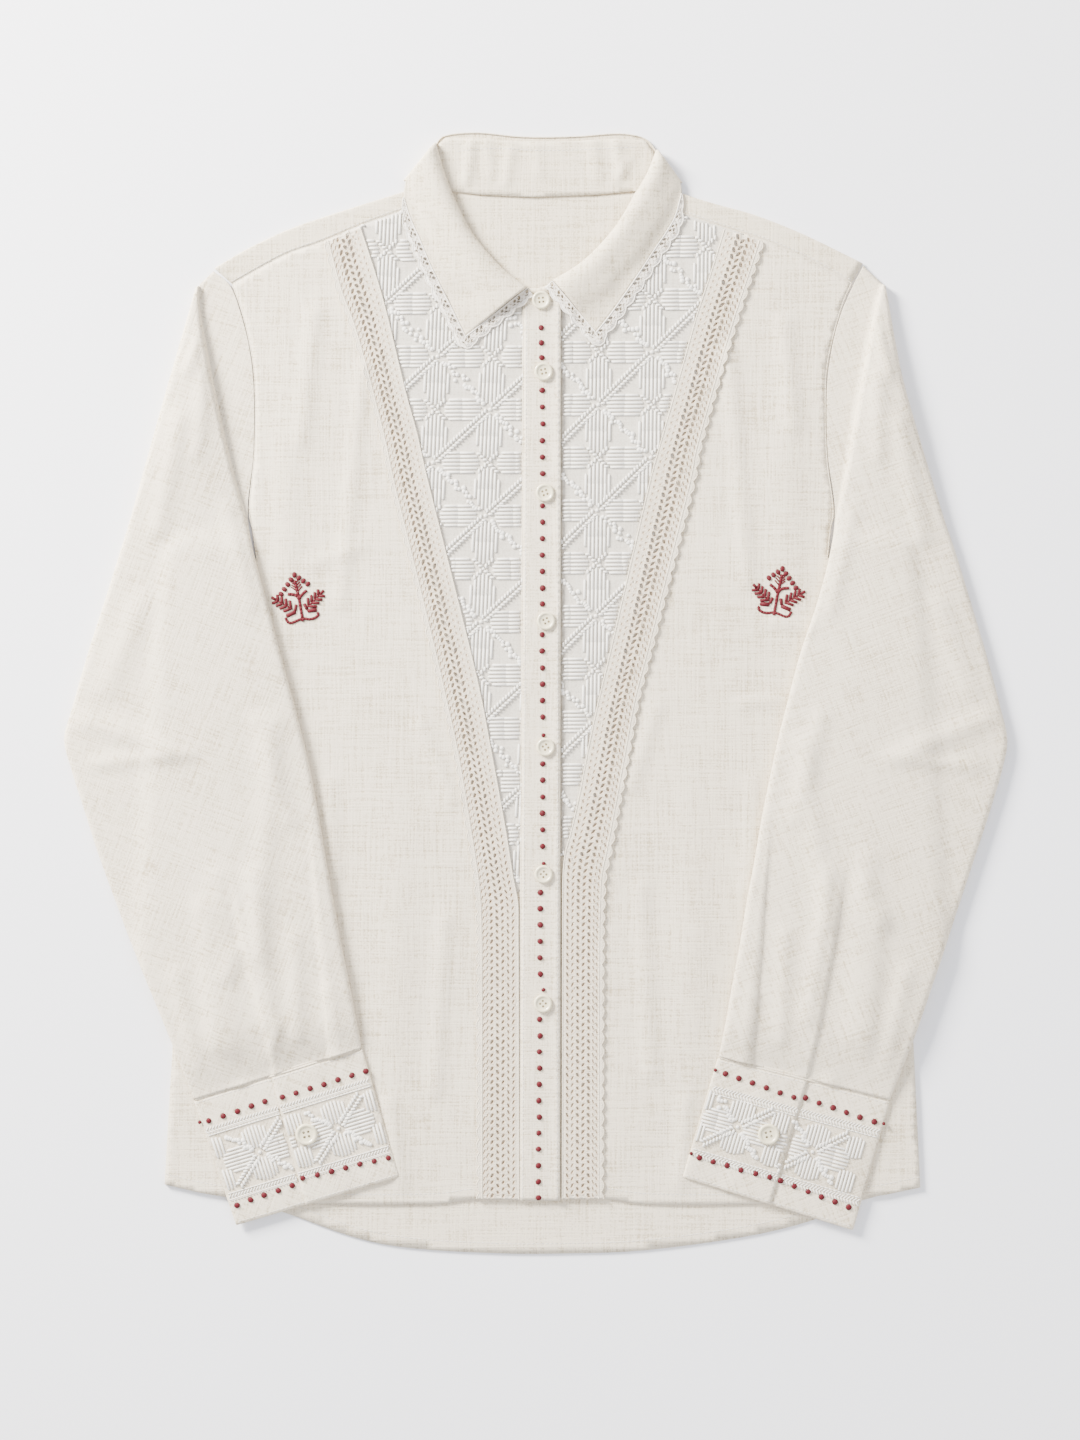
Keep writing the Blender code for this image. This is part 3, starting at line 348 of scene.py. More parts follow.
# Lapped edges on the sleeve's upper side, as the share of its width from the outer edge
# at the row where the edge starts and at the cuff: first_row, share_there, share_at_cuff
SLEEVE_LAPS = {
    "right": ((14, 0.56, 0.48), (13, 0.965, 0.8)),
    "left": ((14, 0.575, 0.48), (13, 0.965, 0.8)),
}
# Cuff: its corners at the outer top, inner top, inner bottom and outer bottom, then the lapped
# edge's top and bottom
CUFF = {
    "right": (
        (-228.4, -268.5), (-118.1, -234.2), (-93.7, -318.4), (-200.6, -350.1), (-177.5, -253.1),
        (-155.8, -334.9),
    ),
    "left": (
        (229.7, -268.6), (116.8, -240.4), (93.7, -318.8), (205.3, -353.4), (176.2, -253.8), (151.8, -335),
    ),
}
# x, y, radius
CUFF_BUTTON = {"right": (-154.4, -291.4, 6.8), "left": (149.8, -291.4, 6.6)}

# %% [markdown]
# ## Measuring on the plan
# Every layer asks of an outline whether a point is inside it and how far its edge is. Whole
# arrays are answered at once, which keeps thousands of vertices quick.

# %% Plan helpers
MM = 0.001
PLAN_SHIFT = np.array((3.450, -0.141))


def in_frame(points, heights):
    """Plan points and heights in millimetres as vertices in metres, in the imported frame."""
    points = np.asarray(points, float)
    return np.column_stack([points + PLAN_SHIFT, np.broadcast_to(heights, len(points))]) * MM


def smooth_line(points, steps):
    """A Catmull-Rom curve through the points, of any dimension, with this many steps between two."""
    line = np.array(points, float)
    padded = np.vstack([2 * line[0] - line[1], line, 2 * line[-1] - line[-2]])
    found = []
    for a, b, c, d in zip(padded, padded[1:], padded[2:], padded[3:]):
        for t in np.arange(steps) / steps:
            cubic = (3 * b - a - 3 * c + d) * t**3
            found.append(0.5 * (2 * b + (c - a) * t + (2 * a - 5 * b + 4 * c - d) * t**2 + cubic))
    return np.array([*found, line[-1]])


def run_along(line):
    """How far along a line each of its points is."""
    return np.concatenate([[0], np.cumsum(norm(np.diff(line, axis=0), axis=1))])


def spaced(line, step):
    """Points an equal way apart, close to this step, along a line."""
    line = np.array(line, float)
    run = run_along(line)
    at = np.linspace(0, run[-1], max(1, round(run[-1] / step)) + 1)
    return np.stack([np.interp(at, run, line[:, k]) for k in range(line.shape[1])], axis=1)


def right_of(line):
    """Unit vectors square to a line, on its right side."""
    along = np.gradient(np.asarray(line, float), axis=0)
    along /= norm(along, axis=1, keepdims=True)
    return np.stack([along[:, 1], -along[:, 0]], axis=1)


def is_inside(points, ring):
    """Whether each point lies inside an outline."""
    points = np.asarray(points, float)
    a = np.asarray(ring, float)
    b = np.roll(a, -1, axis=0)
    odd = np.zeros(len(points), bool)
    for (ax, ay), (bx, by) in zip(a, b):
        if ay != by:
            crosses = (ay > points[:, 1]) != (by > points[:, 1])
            odd ^= crosses & (points[:, 0] < ax + (points[:, 1] - ay) * (bx - ax) / (by - ay))
    return odd


def edge_distance(points, ring, closed=True):
    """How far each point lies from the nearest edge of an outline."""
    points = np.asarray(points, float)
    a = np.asarray(ring, float)
    b = np.roll(a, -1, axis=0)
    if not closed:
        a, b = a[:-1], b[:-1]
    best = np.full(len(points), np.inf)
    for start, end in zip(a, b):
        along = end - start
        share = np.clip((points - start) @ along / max(along @ along, 1e-9), 0, 1)
        away = points - start - share[:, None] * along
        best = np.minimum(best, (away**2).sum(1))
    return np.sqrt(best)


def eased(values):
    """Values held between 0 and 1, with a soft start and a soft end."""
    held = np.clip(values, 0, 1)
    return held * held * (3 - 2 * held)


print("Plan helpers are ready")

# %% [markdown]
# ## How laid cloth moves
# Linen keeps long soft folds from wearing and ironing, creases beside its seams and a faint
# unevenness. Simulation would move the seams away from the photographed places, so the folds are
# laid one by one. One height map serves every layer, so that layers rise together and never cut
# through.

# %% Folds of the body
# x, y, half width, half length, height
SOFT_FOLDS = (
    (-96, -190, 13, 95, 1.4), (-168, 120, 12, 90, 1.2), (98, -170, 14, 110, 1.4), (163, 130, 12, 85, 1.2),
)
# x and y of one end and of the other, half width, height
CREASES = (
    (-118, 214, -132, 60, 5, 0.7), (-150, 250, -158, 168, 6, 0.8), (-176, -20, -186, -172, 7, 0.9),
    (-140, -60, -136, -118, 5, 0.6), (-212, -120, -205, -232, 8, 1), (-64, -150, -70, -262, 5.5, 0.7),
    (-128, -236, -150, -300, 6.5, 0.9), (-196, -262, -188, -322, 6, 0.9), (-100, -270, -92, -326, 5, 0.8),
    (-58, -70, -80, -20, 5, 0.6), (-150, 86, -120, 96, 5, 0.5), (124, 224, 136, 74, 5, 0.7),
    (160, 244, 166, 176, 6, 0.8), (154, 49, 176, 42, 3.5, 0.8), (133, -6, 160, -4, 3.5, 0.7),
    (172, -34, 188, -150, 7, 0.9), (140, -58, 136, -128, 5, 0.6), (214, -110, 206, -226, 8, 1),
    (66, -128, 72, -250, 5.5, 0.7), (132, -242, 146, -304, 6.5, 0.9), (190, -256, 186, -318, 6, 0.9),
    (96, -268, 92, -326, 5, 0.8), (60, -60, 76, -10, 5, 0.6),
)
# Wave length, height
UNEVENNESS = ((62, 0.6), (23, 0.26))
CREASE_GAIN = 2.0
LOWEST_DIP = -0.2
EDGE_FADE = 20.0


def uneven(points, waves, seed):
    """Slow random rise and fall, the same each time for one seed."""
    found = np.zeros(len(points))
    for wave, height in waves:
        found += height * np.array([noise.noise((x / wave, y / wave, seed)) for x, y in points])
    return found


def crease_height(points, creases):
    """Soft ridges, or troughs where the height is below 0."""
    found = np.zeros(len(points))
    for ax, ay, bx, by, half_width, height in creases:
        away = edge_distance(points, ((ax, ay), (bx, by)), closed=False)
        found += CREASE_GAIN * height * np.exp(-((away / half_width) ** 2))
    return found


def body_ring():
    """The plan of the body's front, with the yoke's front strips."""
    right = [*SHOULDER["right"], *ARMHOLE["right"], *SIDE["right"]]
    left = [*SHOULDER["left"], *ARMHOLE["left"], *SIDE["left"]]
    hem = [*FRONT_HEM["right"][1:], *reversed(FRONT_HEM["left"][1:])]
    return np.array([*right, *hem, *reversed(left), *NECK_SEAM["left"], *reversed(NECK_SEAM["right"])])


def body_folds(points):
    """Height of the folds at points of the body, fading out at its edges."""
    points = np.asarray(points, float)
    found = uneven(points, UNEVENNESS, 3) + crease_height(points, CREASES)
    for x, y, half_width, half_length, height in SOFT_FOLDS:
        away = ((points[:, 0] - x) / half_width) ** 2 + ((points[:, 1] - y) / half_length) ** 2
        found += height * np.exp(-away)
    outline = body_ring()
    fade = eased(edge_distance(points, outline) / EDGE_FADE) * is_inside(points, outline)
    return np.maximum(found, LOWEST_DIP) * fade


DRAPE_SLOPE = 0.22


def draped(points, base, under, reach):
    """Height of cloth on a base and on raised outlines, which it leaves on a soft slope."""
    height = np.full(len(points), float(base))
    for ring, top in under:
        away = np.where(is_inside(points, ring), 0, edge_distance(points, ring))
        down = eased((away - reach) * DRAPE_SLOPE / max(top - base, 1e-6))
        height = np.maximum(height, top - (top - base) * down)
    return height


print(f"{len(SOFT_FOLDS) + len(CREASES)} folds and creases are laid by hand on the body")

# %% [markdown]
# ## A shell of cloth
# A cut piece is an outline on the plan. A constrained Delaunay mesh fills it with even triangles,
# without the slivers that a cut grid would leave at curved seams. Each vertex is lifted to its
# layer, and Solidify gives the cloth its thickness.

# %% Cloth helpers
CLOTH = 0.8
LAYER = 1.3
BACK_MID = 0.5
FRONT_MID = BACK_MID + LAYER
APPLIED_MID = FRONT_MID + LAYER
OVER_MID = APPLIED_MID + LAYER
SEAM_GAP = 0.08


def new_mesh(name, vertices, edges=(), faces=()):
    """A mesh from its lists, with smooth faces."""
    mesh = bpy.data.meshes.new(name)
    faces = [tuple(int(k) for k in face) for face in faces]
    mesh.from_pydata([tuple(vertex) for vertex in vertices], list(edges), faces)
    mesh.polygons.foreach_set("use_smooth", [True] * len(mesh.polygons))
    return mesh


def add_piece(name, vertices, faces, finish):
    """A mesh object at the origin, with its place in its vertices."""
    mesh = new_mesh(name, vertices, faces=faces)
    mesh.materials.append(finish)
    return placed(name, mesh)


def grid_faces(rows, count, closed=False, over=False, first=0):
    """Quads between rows of vertices. closed joins a row's ends, over turns the quads over."""
    found = []
    for a in range(first, first + (rows - 1) * count, count):
        for k in range(count if closed else count - 1):
            after = (k + 1) % count
            down, across = a + count + k, a + after
            far = a + count + after
            found.append((a + k, across, far, down) if over else (a + k, down, far, across))
    return found


def reworked(mesh, merged=None, degenerate=None, outward=None):
    """Merges close vertices of a mesh, and turns its faces so that outward(faces) is over 0."""
    work = bmesh.new()
    work.from_mesh(mesh)
    if merged:
        bmesh.ops.remove_doubles(work, verts=work.verts, dist=merged)
    if degenerate:
        bmesh.ops.dissolve_degenerate(work, edges=work.edges, dist=degenerate)
    if outward:
        bmesh.ops.recalc_face_normals(work, faces=work.faces)
        if outward(work.faces) < 0:
            bmesh.ops.reverse_faces(work, faces=work.faces)
    work.to_mesh(mesh)
    work.free()


def wall(piece, thickness, offset=0):
    """Solidify, in millimetres."""
    solid = piece.modifiers.new("Cloth thickness", "SOLIDIFY")
    solid.thickness = thickness * MM
    solid.offset = offset
    solid.use_even_offset = False
    return piece


def fine_ring(ring, step):
    """An outline with points at most a step apart, all its own points kept."""
    found = []
    for a, b in zip(ring, np.roll(ring, -1, axis=0)):
        count = max(1, ceil(norm(b - a) / step))
        found += [a + (b - a) * k / count for k in range(count)]
    return np.array(found)


def filled(outline, grid):
    """Points and faces of a Delaunay mesh of an outline and points inside it."""
    points = [Vector(point) for point in np.vstack([outline, grid])]
    flat, _, faces, *_ = delaunay_2d_cdt(points, [], [list(range(len(outline)))], 1, 1e-5)
    return np.array([tuple(point) for point in flat]), faces


def cloth(name, ring, height, finish, step=4):
    """A laid piece of cloth, cut to an outline, at height(points)."""
    ring = np.array(ring, float)
    outline = fine_ring(ring, step)
    low, high = outline.min(axis=0), outline.max(axis=0)
    rows = []
    for number, y in enumerate(np.arange(low[1], high[1], step * 0.87)):
        xs = np.arange(low[0] + (number % 2) * step / 2, high[0], step)
        rows.append(np.column_stack([xs, np.full(len(xs), y)]))
    grid = np.vstack(rows)
    grid = grid[is_inside(grid, ring)]
    plan, faces = filled(outline, grid[edge_distance(grid, ring) > step * 0.45])
    return wall(add_piece(name, in_frame(plan, height(plan)), faces, finish), CLOTH)


def carried(piece, slot, *nodes):
    """The piece rides on the one body and stands for nodes, whose parts it hides; slot is not used."""
    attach(piece, "root")
    if nodes:
        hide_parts(*nodes)
    print(f"{piece.name}: {len(piece.data.polygons)} faces")
    return piece


print(f"Cloth is {CLOTH} mm thick, in layers {LAYER} mm apart")

# %% [markdown]
# ## Linen
# Linen yarn is uneven, and its thick stretches, the slubs, are what the eye reads as linen. A
# picture of cloth would repeat, so noise stretched along warp and weft draws the slubs, and fine
# waves under them draw the weave. Each turn of the grain gets its own copy of the material.

# %% Linen material
def linen(name, degrees, tones, slub=1, band=None):
    """Plain-weave linen with its warp turned from the body's length, and darker in a cuff's band: the band's
    own ground, with painted shade between its stitches.
    """
    light, dark = tones
    made, tree, shader, place = new_material(name, light, 0.88, sheen=0.12)
    turned = add_node(tree, "ShaderNodeMapping", Vector=place, Rotation=(0, 0, -radians(degrees))).outputs[0]
    warp = grains(tree, turned, (820, 34, 300))
    weft = grains(tree, turned, (34, 820, 300))
    waves = []
    for direction in "XY":
        settings = {"bands_direction": direction}
        yarn = {"Vector": turned, "Scale": 560, "Distortion": 2.5, "Detail": 1.0}
        waves.append(add_node(tree, "ShaderNodeTexWave", settings, **yarn).outputs["Fac"])
    weave = maths(tree, "MULTIPLY", maths(tree, "ADD", *waves), 0.5)
    slubs = maths(tree, "ADD", warp, weft)
    tone = maths(tree, "MULTIPLY_ADD", slubs, 2.3 * slub, -1.72 * slub)
    tone = maths(tree, "MULTIPLY_ADD", grains(tree, turned, 16, 3), 0.55, tone)
    tone = maths(tree, "MULTIPLY_ADD", weave, 0.2, tone)
    tone = maths(tree, "ADD", tone, maths(tree, "MULTIPLY_ADD", grains(tree, turned, 900), 2.5, -1.25))
    tone = add_node(tree, "ShaderNodeClamp", Value=tone).outputs[0]
    color = blended(tree, tone, dark, light)
    if band:
        low, high = band
        within = maths(tree, "COMPARE", attribute(tree, "down"), (low + high) / 2, (high - low) / 2)
        color = blended(tree, within, color, blended(tree, tone, *CUFF_TONES))
    relief = maths(tree, "MULTIPLY_ADD", weave, 0.35, maths(tree, "MULTIPLY", slubs, slub))
    dressed(tree, shader, color, relief, 0.6, 0.0005)
    return made


# Light and dark
LINEN_TONES = ((0.785, 0.69, 0.535), (0.475, 0.39, 0.262))
# Linen cut across, for yoke, stand and collar, is painted a little darker and warmer: painted shade, as the
# neck's inside lies low.
SHADED_ACROSS_TONES = ((0.76, 0.665, 0.505), (0.455, 0.375, 0.245))
# The embroidered ground is greyer and darker than the linen: partly its own finer cloth, partly painted shade
# between the raised stitches.
GROUND_TONES = ((0.69, 0.635, 0.54), (0.53, 0.48, 0.395))
# A cuff's embroidered band is darker than the linen: partly its ground's own colour, partly painted shade
# between the stitches.
# Dark and light
CUFF_TONES = ((0.44, 0.365, 0.25), (0.70, 0.61, 0.47))
# How far the sleeves' grain is turned, in degrees
SLEEVE_GRAIN = {"right": -20, "left": 20}
body_linen = linen("linen", 0, LINEN_TONES)
cross_linen = linen("linen_cut_across", 90, SHADED_ACROSS_TONES)
sleeve_linen = {side: linen(f"linen_{side}_sleeve", SLEEVE_GRAIN[side], LINEN_TONES) for side in SIDES}
ground_cloth = linen("embroidered_ground", 0, GROUND_TONES, slub=0.5)
print("Linen in four grains, and a finer ground for the embroidery")

# %% [markdown]
# ## Back, fronts and closure
# The fronts lie on the longer back, the embroidered inserts are let in between tape and closure,
# and the placket laps over the button band. Each is a shell on its outline, at its own layer.

# %% Outlines of the body's pieces
YOKE_FOOT = 246.0


def crossing(line, y):
    """Where a line down the plan crosses a height."""
    at = np.array(line)[::-1]
    return float(np.interp(y, at[:, 1], at[:, 0]))


def tape_centre(side, way):
    """The tape's middle line, moved a little towards the closure."""
    sign = 1 if side == "right" else -1
    return [((a + c) / 2 + sign * way, (b + d) / 2) for a, b, c, d in TAPE[side]]


def seam_height(side, x):
    """Where the yoke seam runs at x."""
    at = sorted(YOKE_SEAM[side])
    return float(np.interp(x, [p[0] for p in at], [p[1] for p in at])) - SEAM_GAP


def back_ring():
    """Outline of the back, from the yoke seam round the shirt tail."""
    half = {}
    for side in SIDES:
        line = [*ARMHOLE[side][1:], *SIDE[side][:-1]]
        below = [point for point in line if point[1] < YOKE_FOOT]
        half[side] = [(crossing(ARMHOLE[side], YOKE_FOOT), YOKE_FOOT), *below]
    return [*half["right"], *smooth_line(BACK_HEM, 4), *reversed(half["left"])]


def front_ring(side):
    """Outline of the plain front, outside the tape and below the insert."""
    foot = INSERT_FOOT[side] - SEAM_GAP
    centre = tape_centre(side, -SEAM_GAP / 2)
    top = [(x, y - SEAM_GAP) for x, y in YOKE_SEAM[side] if abs(x) > abs(centre[0][0]) + 1]
    inner = [(centre[0][0], seam_height(side, centre[0][0]))]
    inner += [point for point in centre[1:] if point[1] > foot] + [(crossing(centre, foot), foot)]
    closure = BAND_LEFT - 2 * SEAM_GAP if side == "right" else BAND_RIGHT + SEAM_GAP
    hem = [tuple(point) for point in smooth_line(FRONT_HEM[side], 3)]
    hem[-1] = (closure, hem[-1][1])
    down = [(closure, foot), *reversed(hem[1:])]
    return [*inner, *down, *reversed(SIDE[side]), *reversed(ARMHOLE[side][1:]), *reversed(top)]


def insert_ring(side):
    """Outline of the embroidered insert, a long triangle beside the closure."""
    foot = INSERT_FOOT[side]
    centre = tape_centre(side, SEAM_GAP / 2)
    outer = [(centre[0][0], seam_height(side, centre[0][0]))]
    outer += [point for point in centre[1:] if point[1] > foot] + [(crossing(centre, foot), foot)]
    closure = BAND_LEFT - SEAM_GAP if side == "right" else BAND_RIGHT + SEAM_GAP
    neck = smooth_line(NECK_SEAM[side][1:], 3)
    corner = (closure, neck[-1][1] - SEAM_GAP)
    neck = [tuple(point) for point in neck if abs(point[0]) > abs(closure) + 1]
    top = [(x, y - SEAM_GAP) for x, y in YOKE_SEAM[side] if abs(x) < abs(centre[0][0]) - 1]
    return [*outer, (closure, foot), corner, *reversed(neck), *top]


def placket_ring():
    return [
        (PLACKET_LEFT[0], PLACKET_TOP), (PLACKET_LEFT[1], HEM_AT_PLACKET),
        (PLACKET_RIGHT[1], HEM_AT_PLACKET), (PLACKET_RIGHT[0], PLACKET_TOP),
    ]


# %% Cut and lay the body
PLACKET_LIP = 1.0
PLACKET_LIP_START = 6.5
back = cloth("back_cloth", back_ring(), lambda p: BACK_MID, body_linen, step=6)
carried(back, "linen", "back")


def front_height(points):
    """Height of the fronts and of what is level with them."""
    return FRONT_MID + body_folds(points)


for side in SIDES:
    front = cloth(f"{side}_front_cloth", front_ring(side), front_height, body_linen)
    carried(front, "linen", f"{side}_front")
    ground = cloth(f"{side}_insert_ground", insert_ring(side), front_height, ground_cloth)
    carried(ground, "embroidered_ground", f"{side}_insert")
band = [
    (BAND_LEFT, PLACKET_TOP - 1), (BAND_LEFT, HEM_AT_PLACKET),
    (BAND_RIGHT, HEM_AT_PLACKET), (BAND_RIGHT, PLACKET_TOP - 1),
]
button_band = cloth("button_band_cloth", band, front_height, body_linen)
carried(button_band, "linen", "button_band")


def placket_height(points):
    """Height of the placket, whose free edge stands a little proud of the shirt."""
    lip = PLACKET_LIP * eased((np.asarray(points, float)[:, 0] - PLACKET_LIP_START) / 6)
    return APPLIED_MID + body_folds(points) + lip


placket = cloth("placket_cloth", placket_ring(), placket_height, body_linen, step=3)
carried(placket, "linen", "placket")

# %% [markdown]
# ## Yoke
# A yoke is one piece behind the shoulders, turned over each of them to a seam on the front. It is
# bent in rings round the shoulder line, and the back half closes the sheet underneath.

# %% Yoke
FOLD_RINGS = 6
STRIP_ROWS = 7


def inside_folds(points):
    """Faint folds of the yoke's inside, which shows through the neck."""
    relief = uneven(points, ((40, 0.35), (16, 0.12)), 9)
    return np.maximum(relief, 0) * eased(edge_distance(points, BACK_NECK) / 12)


def yoke_sheet():
    """Vertices and faces: the back below, and a turned strip over each shoulder."""
    vertices, faces = [], []
    centre = (BACK_MID + FRONT_MID) / 2
    radius = (FRONT_MID - BACK_MID) / 2
    lower = {}
    for side in SIDES:
        count = 28
        crest = smooth_line(SHOULDER[side], 6)
        seam = smooth_line(YOKE_SEAM[side], 6)
        crest = spaced(crest, run_along(crest)[-1] / count)
        seam = spaced(seam, run_along(seam)[-1] / count)
        inward = (seam - crest) / norm(seam - crest, axis=1, keepdims=True)
        rings = []
        for k in range(FOLD_RINGS + 1):
            turn = pi * (k / FOLD_RINGS) - pi / 2
            out = crest + inward * radius * (1 - cos(turn))
            rings.append(in_frame(out, centre + radius * sin(turn)))
        start = crest + inward * radius
        for k in range(1, STRIP_ROWS + 1):
            plan = start + (seam - start) * k / STRIP_ROWS
            rings.append(in_frame(plan, FRONT_MID + body_folds(plan)))
        first, width = len(vertices), count + 1
        vertices += [vertex for ring in rings for vertex in ring]
        quads = grid_faces(len(rings), width, first=first)
        faces += quads if side == "left" else [quad[::-1] for quad in quads]
        lower[side] = list(range(first, first + width))
    edge = {}
    for side in SIDES:
        armhole = [point for point in ARMHOLE[side] if point[1] > YOKE_FOOT + SEAM_GAP]
        armhole.append((crossing(ARMHOLE[side], YOKE_FOOT + SEAM_GAP), YOKE_FOOT + SEAM_GAP))
        edge[side] = list(range(len(vertices), len(vertices) + len(armhole)))
        vertices += list(in_frame(armhole, BACK_MID))
    neck = list(range(len(vertices), len(vertices) + len(BACK_NECK)))
    vertices += list(in_frame(BACK_NECK, BACK_MID))
    ring = [*neck, *lower["left"], *edge["left"], *edge["right"][::-1], *lower["right"][::-1]]
    outline = np.array([vertices[k][:2] for k in ring]) / MM - PLAN_SHIFT
    fine = fine_ring(outline, 5)
    low, high = outline.min(axis=0), outline.max(axis=0)
    grid = np.array([(x, y) for x in np.arange(low[0], high[0], 5) for y in np.arange(low[1], high[1], 5)])
    grid = grid[is_inside(grid, outline)]
    plan, lower_faces = filled(fine, grid[edge_distance(grid, outline) > 2])
    start = len(vertices)
    vertices += list(in_frame(plan, BACK_MID + inside_folds(plan)))
    faces += [[start + k for k in face] for face in lower_faces]
    return vertices, faces


vertices, faces = yoke_sheet()
yoke = add_piece("yoke_cloth", vertices, faces, cross_linen)
reworked(yoke.data, merged=0.00002)
wall(yoke, CLOTH)
carried(yoke, "linen", "yoke")

# %% [markdown]
# ## Crochet lace
# The tape is a close band with a straight edge, an openwork band of slanted eyelets, a narrow
# ladder and a scalloped edge. A bump map would leave the holes closed, so every eyelet is a real
# hole: one tile, a square with an oval ring in it, is repeated along the strip and bent with it.
# An attribute marks the rim of each hole, where the thread dips lowest, and the material paints it darker:
# painted shade in and round the holes.

# %% Lace material
def lace_finish(name, light, deep, dark):
    """Matt cotton thread, with rope-like twists, and painted shade on the rim of each hole."""
    made, tree, shader, place = new_material(name, light, 0.9, sheen=0.1)
    twist = grains(tree, place, (1100, 1100, 500))
    cloudy = maths(tree, "MULTIPLY_ADD", grains(tree, place, 60), 0.6, -0.5)
    tone = add_node(tree, "ShaderNodeClamp", Value=maths(tree, "MULTIPLY_ADD", twist, 1.3, cloudy))
    thread = blended(tree, tone.outputs[0], deep, light)
    # The rim of each hole is painted towards the dark colour: painted shade in the holes.
    dressed(tree, shader, blended(tree, attribute(tree, "rim"), thread, dark), twist, 0.7, 0.0006)
    return made


# Light, deep and dark thread; the dark colour is painted shade for the edges of the holes.
tape_thread = lace_finish("tape_thread", (0.83, 0.745, 0.595), (0.63, 0.55, 0.43), (0.42, 0.30, 0.19))
collar_thread = lace_finish("collar_thread", (0.92, 0.88, 0.80), (0.70, 0.64, 0.55), (0.42, 0.33, 0.22))

# %% Lace tile
# Where a tape turns straight down, in millimetres along it, and how slowly
STRAIGHT_START = 300.0
STRAIGHT_RAMP = 160.0


class Strip:
    """Lace in its own coordinates: along the strip and across it, in millimetres."""

    def __init__(self, inner, outer, width, pitch):
        middle = (inner + outer) / 2
        run = run_along(middle)
        self.inner, self.outer, self.run, self.width = inner, outer, run, width
        self.count = round(run[-1] / pitch)
        self.pitch = run[-1] / self.count
        self.points, self.rims, self.faces = [], [], []

    def on_plan(self, along, across):
        """Plan points for places on the strip."""
        edges = [
            np.stack([np.interp(along, self.run, edge[:, k]) for k in range(2)], axis=1)
            for edge in (self.inner, self.outer)
        ]
        share = (np.asarray(across) / self.width)[:, None]
        return edges[0] + (edges[1] - edges[0]) * share

    def add(self, points, rims, faces):
        start = len(self.points)
        self.points += points
        self.rims += rims
        self.faces += [tuple(start + k for k in face) for face in faces]

    def plain(self, low, high, columns, lift=0.15, edge=None):
        """A close band. edge(along) moves its outer side."""
        steps = self.count * 4
        along = np.linspace(0, self.run[-1], steps + 1)
        points = []
        for column in range(columns + 1):
            share = column / columns
            across = np.full(steps + 1, low + (high - low) * share)
            if edge:
                across += edge(along) * share
            rise = lift + (0.14 if 0 < column < columns else 0)
            points += [(a, c, rise) for a, c in zip(along, across)]
        self.add(points, [0] * len(points), grid_faces(columns + 1, steps + 1))

    def eyelets(self, low, high, shift, half_along, half_across, slant, grow=(1, 1), rhythm=(1,)):
        """One column of holes, each in its tile, moved along by a share of the pitch.

        grow is their size at the strip's start and at its straight end, rhythm one after the other.
        """
        middle = (low + high) / 2
        draw = np.random.default_rng(int(low * 10))
        if shift:
            for start in (0, self.run[-1] - self.pitch / 2):
                ends = [start, start + self.pitch / 4, start + self.pitch / 2]
                points = [(a, c, 0.15) for c in (low, high) for a in ends]
                self.add(points, [0] * 6, [(0, 3, 4, 1), (1, 4, 5, 2)])
        for number in range(self.count - (1 if shift else 0)):
            centre = (number + 0.5 + shift) * self.pitch
            steps = [self.pitch * k / 4 for k in (-2, -1, 0, 1, 2)]
            square = [(x, low) for x in steps] + [(steps[-1], middle)]
            square += [(x, high) for x in steps[::-1]] + [(steps[0], middle)]
            hole = []
            far = float(eased((centre - STRAIGHT_START) / STRAIGHT_RAMP))
            tight = draw.uniform(0.72, 1.12) * (grow[0] + (grow[1] - grow[0]) * far)
            tight *= rhythm[number % len(rhythm)]
            for x, y in square:
                turn = atan2((y - middle) / (high - low), x / self.pitch)
                out_x, out_y = half_along * tight * cos(turn), half_across * tight * sin(turn)
                hole.append((out_x, middle + out_y + slant * out_x))
            between = [(0.45 * a + 0.55 * c, 0.45 * b + 0.55 * d) for (a, b), (c, d) in zip(square, hole)]
            points = [(centre + x, y, 0.15) for x, y in square]
            points += [(centre + x, y, 0.42) for x, y in between]
            points += [(centre + x, y, 0.1) for x, y in hole]
            # How strongly the material paints shade: none at the tile's square, a quarter between, full at
            # the hole's edge.
            rims = [rim for rim in (0, 0.25, 1) for _ in square]
            self.add(points, rims, grid_faces(3, len(square), closed=True))

    def piece(self, name, height, finish, thickness, seed):
        """The strip bent along its path, merged and given its thickness."""
        own = np.array(self.points)
        plan = self.on_plan(own[:, 0], own[:, 1])
        rise = own[:, 2] + np.random.default_rng(seed).normal(0, 0.05, len(own))
        made = add_piece(name, in_frame(plan, height(plan) + rise), self.faces, finish)
        # These weights go to the attribute rim, for the painted shade round the holes.
        made.data.attributes.new("rim", "FLOAT", "POINT").data.foreach_set("value", self.rims)
        reworked(made.data, merged=0.0002, outward=lambda faces: sum(face.normal.z for face in faces))
        return wall(made, thickness)


def scallops(period, depth):
    """How far a scalloped edge stands out at each place along it."""
    return lambda along: depth * np.abs(np.sin(pi * along / period))


# %% [markdown]
# Cords finish the lace along its edges. A cord follows a path, which suits Geometry Nodes: the
# tree turns edges into a curve, sweeps a round profile along it and turns that into a mesh.

# %% Cords as Geometry Nodes
def node_group(name, inputs):
    """An empty Geometry Nodes tree with named inputs."""
    tree = bpy.data.node_groups.new(name, "GeometryNodeTree")
    tree.interface.new_socket("Geometry", in_out="OUTPUT", socket_type="NodeSocketGeometry")
    tree.interface.new_socket("Geometry", in_out="INPUT", socket_type="NodeSocketGeometry")
    for label, kind in inputs:
        tree.interface.new_socket(label, in_out="INPUT", socket_type=kind)
    return tree, tree.nodes.new("NodeGroupInput").outputs, tree.nodes.new("NodeGroupOutput").inputs


